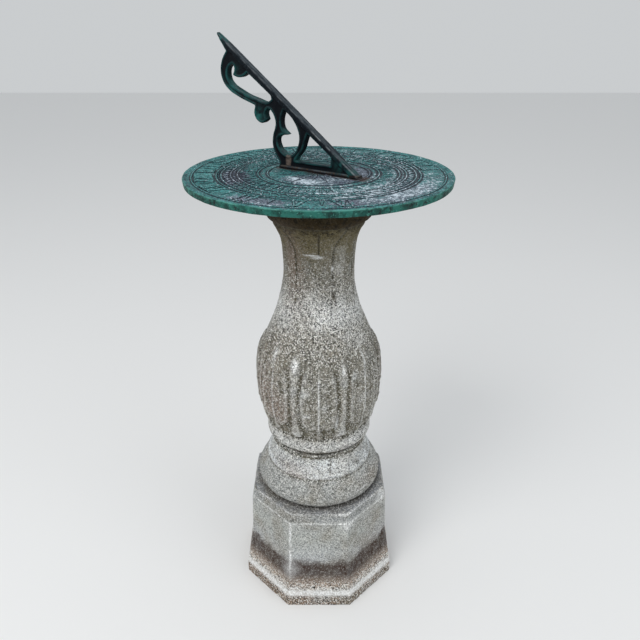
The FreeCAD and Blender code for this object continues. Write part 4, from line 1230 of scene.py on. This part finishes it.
def style_bar():
    """Rings along the bar, which thins to the tip, with its upper corners chamfered."""
    rings = []
    for along in [*np.linspace(FOOT_MEETS_STYLE + 0.4, TAPER, 40), 129.0, 132.5, 135.0, TIP, TIP + 1.0]:
        drop = STYLE_DEPTH / math.cos(LATITUDE) * np.interp(along, [TAPER, TIP], [1.0, 0.35])
        upper = style_line(along) - SWELL
        lower = max(upper - drop + 2 * SWELL, 0.0)
        rings.append(bar_ring(along, lower, upper, style_half(along) - 0.1, 0.5, 0.5))
    return rings


def bar_ring(along, lower, upper, half, inset, chamfer):
    """Section of a bar across the gnomon's plane, with chamfered upper corners."""
    return [(along, -half, lower), (along, half, lower), (along, half, upper - chamfer),
            (along, half - inset, upper), (along, inset - half, upper), (along, -half, upper - chamfer)]


def gnomon_looks(place, upward, loops):
    """Sunk channels painted dark as shade, teal borders, green scrolls and tip, and one rubbed patch near the
    foot.
    """
    along, across, height = place.T
    inner = edge_distance(place[:, [0, 2]], loops)
    over_style = height - style_line(along)
    on_web = ramp(-4.588, -5.476, over_style) * ramp(3.0, 4.2, height)
    on_face = on_web * ramp(3.2, 3.8, np.abs(across))
    green = [strength * np.exp(-((along - s) ** 2 + (height - z) ** 2) / size ** 2)
             for s, z, size, strength in GREEN_SPOTS]
    green = np.clip(np.max(green, 0) * ramp(-0.6, 0.2, noise(place, 52, 6)), 0, 0.95)
    # the walls of the openings are green only where they look up: painted sky light
    walls = 0.55 * on_web * (1 - on_face) * ramp(0.15, 0.6, upward) * ramp(-0.5, 0.3, noise(place, 55, 8))
    channel = ramp(1.9, 2.9, inner) * on_web * (np.abs(across) < 4.9) * (1 - 0.9 * green)
    grain = 2.0 * noise(place, 53, 6)
    bare = ramp(4.6, 2.0, np.abs(along - 39.0) + grain) * (across > 2.0)
    bare = bare * ramp(2.6, 5.0, height) * ramp(18.5, 14.0, height + grain)
    # the style's two upper corners are rubbed bright, with painted highlights along them
    corner = ramp(1.9, 0.6, style_half(along) - np.abs(across)) * ramp(-0.3, 0.4, noise(place, 54, 8))
    corner *= ramp(-1.6, -0.4, over_style) * (0.35 + 0.65 * ramp(20, -10, along))
    drawn_out = np.stack([0.12 * along, across, 0.12 * height], 1)
    return {"channel": channel, "rim": ramp(2.3, 1.2, inner) * on_face, "green": np.maximum(green, walls),
            "bare": 0.85 * bare, "wear_and_highlight": 0.8 * corner, "streak": noise(drawn_out, 56, 1.6)}


def make_gnomon():
    spacing = 1.0
    loops = [outline(start, segments, spacing)[:-1] for start, segments in GNOMON_LOOPS]
    points, faces = web_mesh(loops, spacing)
    foot = [bar_ring(along, 0.0, FOOT_HEIGHT - SWELL, FOOT_HALF - SWELL, 0.8, 1.0)
            for along in (FOOT_SOUTH + SWELL, FOOT_NORTH - SWELL)]
    for rings in (style_bar(), foot):
        more, sides = stacked(rings, len(points))
        points += more
        faces += sides
    thing = make_object("gnomon_cast", points, faces, "dial_head", DARK_BRONZE)
    merge = thing.modifiers.new("merge", "REMESH")
    merge.mode = "VOXEL"
    merge.voxel_size = 0.62 * MM
    merge.use_smooth_shade = True
    soften = thing.modifiers.new("soften", "SMOOTH")
    soften.factor, soften.iterations = 0.5, 3
    merged = bpy.data.meshes.new_from_object(thing.evaluated_get(bpy.context.evaluated_depsgraph_get()))
    thing.modifiers.clear()
    thing.data = merged
    place, normal = np.empty((2, len(merged.vertices) * 3))
    merged.vertices.foreach_get("co", place)
    merged.vertices.foreach_get("normal", normal)
    place, normal = place.reshape(-1, 3) / MM, normal.reshape(-1, 3)
    looks = gnomon_looks(place, normal[:, 2], loops)
    place += normal * (SWELL + 0.14 * noise(place, 51, 5))[:, None]
    place = np.clip(place, [FOOT_MEETS_STYLE, -FOOT_HALF, 0.0], [TIP, FOOT_HALF, style_line(TIP)])
    c, s = math.cos(NORTH), math.sin(NORTH)
    turned = place @ [[c, s, 0.0], [-s, c, 0.0], [0.0, 0.0, 1.0]] + [0.0, 0.0, PLATE_FLOOR]
    merged.vertices.foreach_set("co", (turned * MM).ravel())
    merged.polygons.foreach_set("use_smooth", [True] * len(merged.polygons))
    set_attributes(merged, looks)
    merged.update()
    if not merged.materials:
        merged.materials.append(DARK_BRONZE)
    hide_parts("gnomon")


# ---------------------------------------------------------------- carried-over nodes, stage and camera
def dress_nodes():
    finishes = {"core_rod": STEEL, "core_grout": MORTAR, "pivot_sleeve": BRASS, "sleeve_grout": MORTAR,
                "bedding_washer": LEAD, "pivot_stud": BRASS, "gnomon_screws": BRASS}
    for name, material in finishes.items():
        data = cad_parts[name].data
        data.materials.clear()
        data.materials.append(material)


def make_stage():
    size = 6.0
    mesh = bpy.data.meshes.new("floor")
    corners = [(-size, -size, 0), (size, -size, 0), (size, size, 0), (-size, size, 0)]
    mesh.from_pydata(corners, [], [(0, 1, 2, 3)])
    floor = bpy.data.objects.new("floor", mesh)
    bpy.context.scene.collection.objects.link(floor)
    n = Nodes("pale_floor")
    n.colour = (0.86, 0.86, 0.86)
    mesh.materials.append(n.finish(0.9, specular=0.1))


def area_light(name, location, size, power, colour):
    """Soft round light aimed at the middle of the sundial."""
    data = bpy.data.lights.new(name, "AREA")
    data.shape, data.size, data.energy, data.color = "DISK", size, power, colour
    light = bpy.data.objects.new(name, data)
    light.location = location
    light.rotation_euler = (Vector((0.0, 0.0, 0.4)) - light.location).to_track_quat("-Z", "Y").to_euler()
    bpy.context.scene.collection.objects.link(light)


def make_light():
    world = bpy.data.worlds.new("studio")
    world.use_nodes = True
    background = world.node_tree.nodes["Background"].inputs
    background["Color"].default_value = (0.95, 0.98, 1.0, 1.0)
    background["Strength"].default_value = 0.62
    bpy.context.scene.world = world
    area_light("key", (-1.1, -1.5, 2.3), 1.6, 34.0, (1.0, 0.99, 0.97))
    area_light("fill", (1.6, -1.2, 1.5), 1.8, 9.0, (0.97, 0.99, 1.0))


def make_camera():
    """Looks down at the dial from the front, 4.6 dial radii away and a little over one above it."""
    data = bpy.data.cameras.new("camera")
    data.sensor_width, data.lens = 36.0, 34.65
    camera = bpy.data.objects.new("camera", data)
    unit = DIAL_RADIUS * MM
    camera.location = (0.010 * unit, -4.586 * unit, DIAL_TOP * MM + 1.064 * unit)
    camera.rotation_euler = (math.pi / 2 - math.radians(26.6), 0, 0)
    bpy.context.scene.collection.objects.link(camera)
    bpy.context.scene.camera = camera
    bpy.context.scene.view_settings.view_transform = "Standard"


make_plinth()
make_base()
make_mortar("lower_joint", "lower_mortar_bed", PLINTH_TOP, BASE_LOW, 61)
make_mortar("upper_joint", "upper_mortar_bed", BASE_TOP, SHAFT_LOW, 62)
make_shaft()
make_plate()
make_numerals()
make_hour_lines()
make_bands()
make_rose()
make_gnomon()
dress_nodes()
make_stage()
make_light()
make_camera()
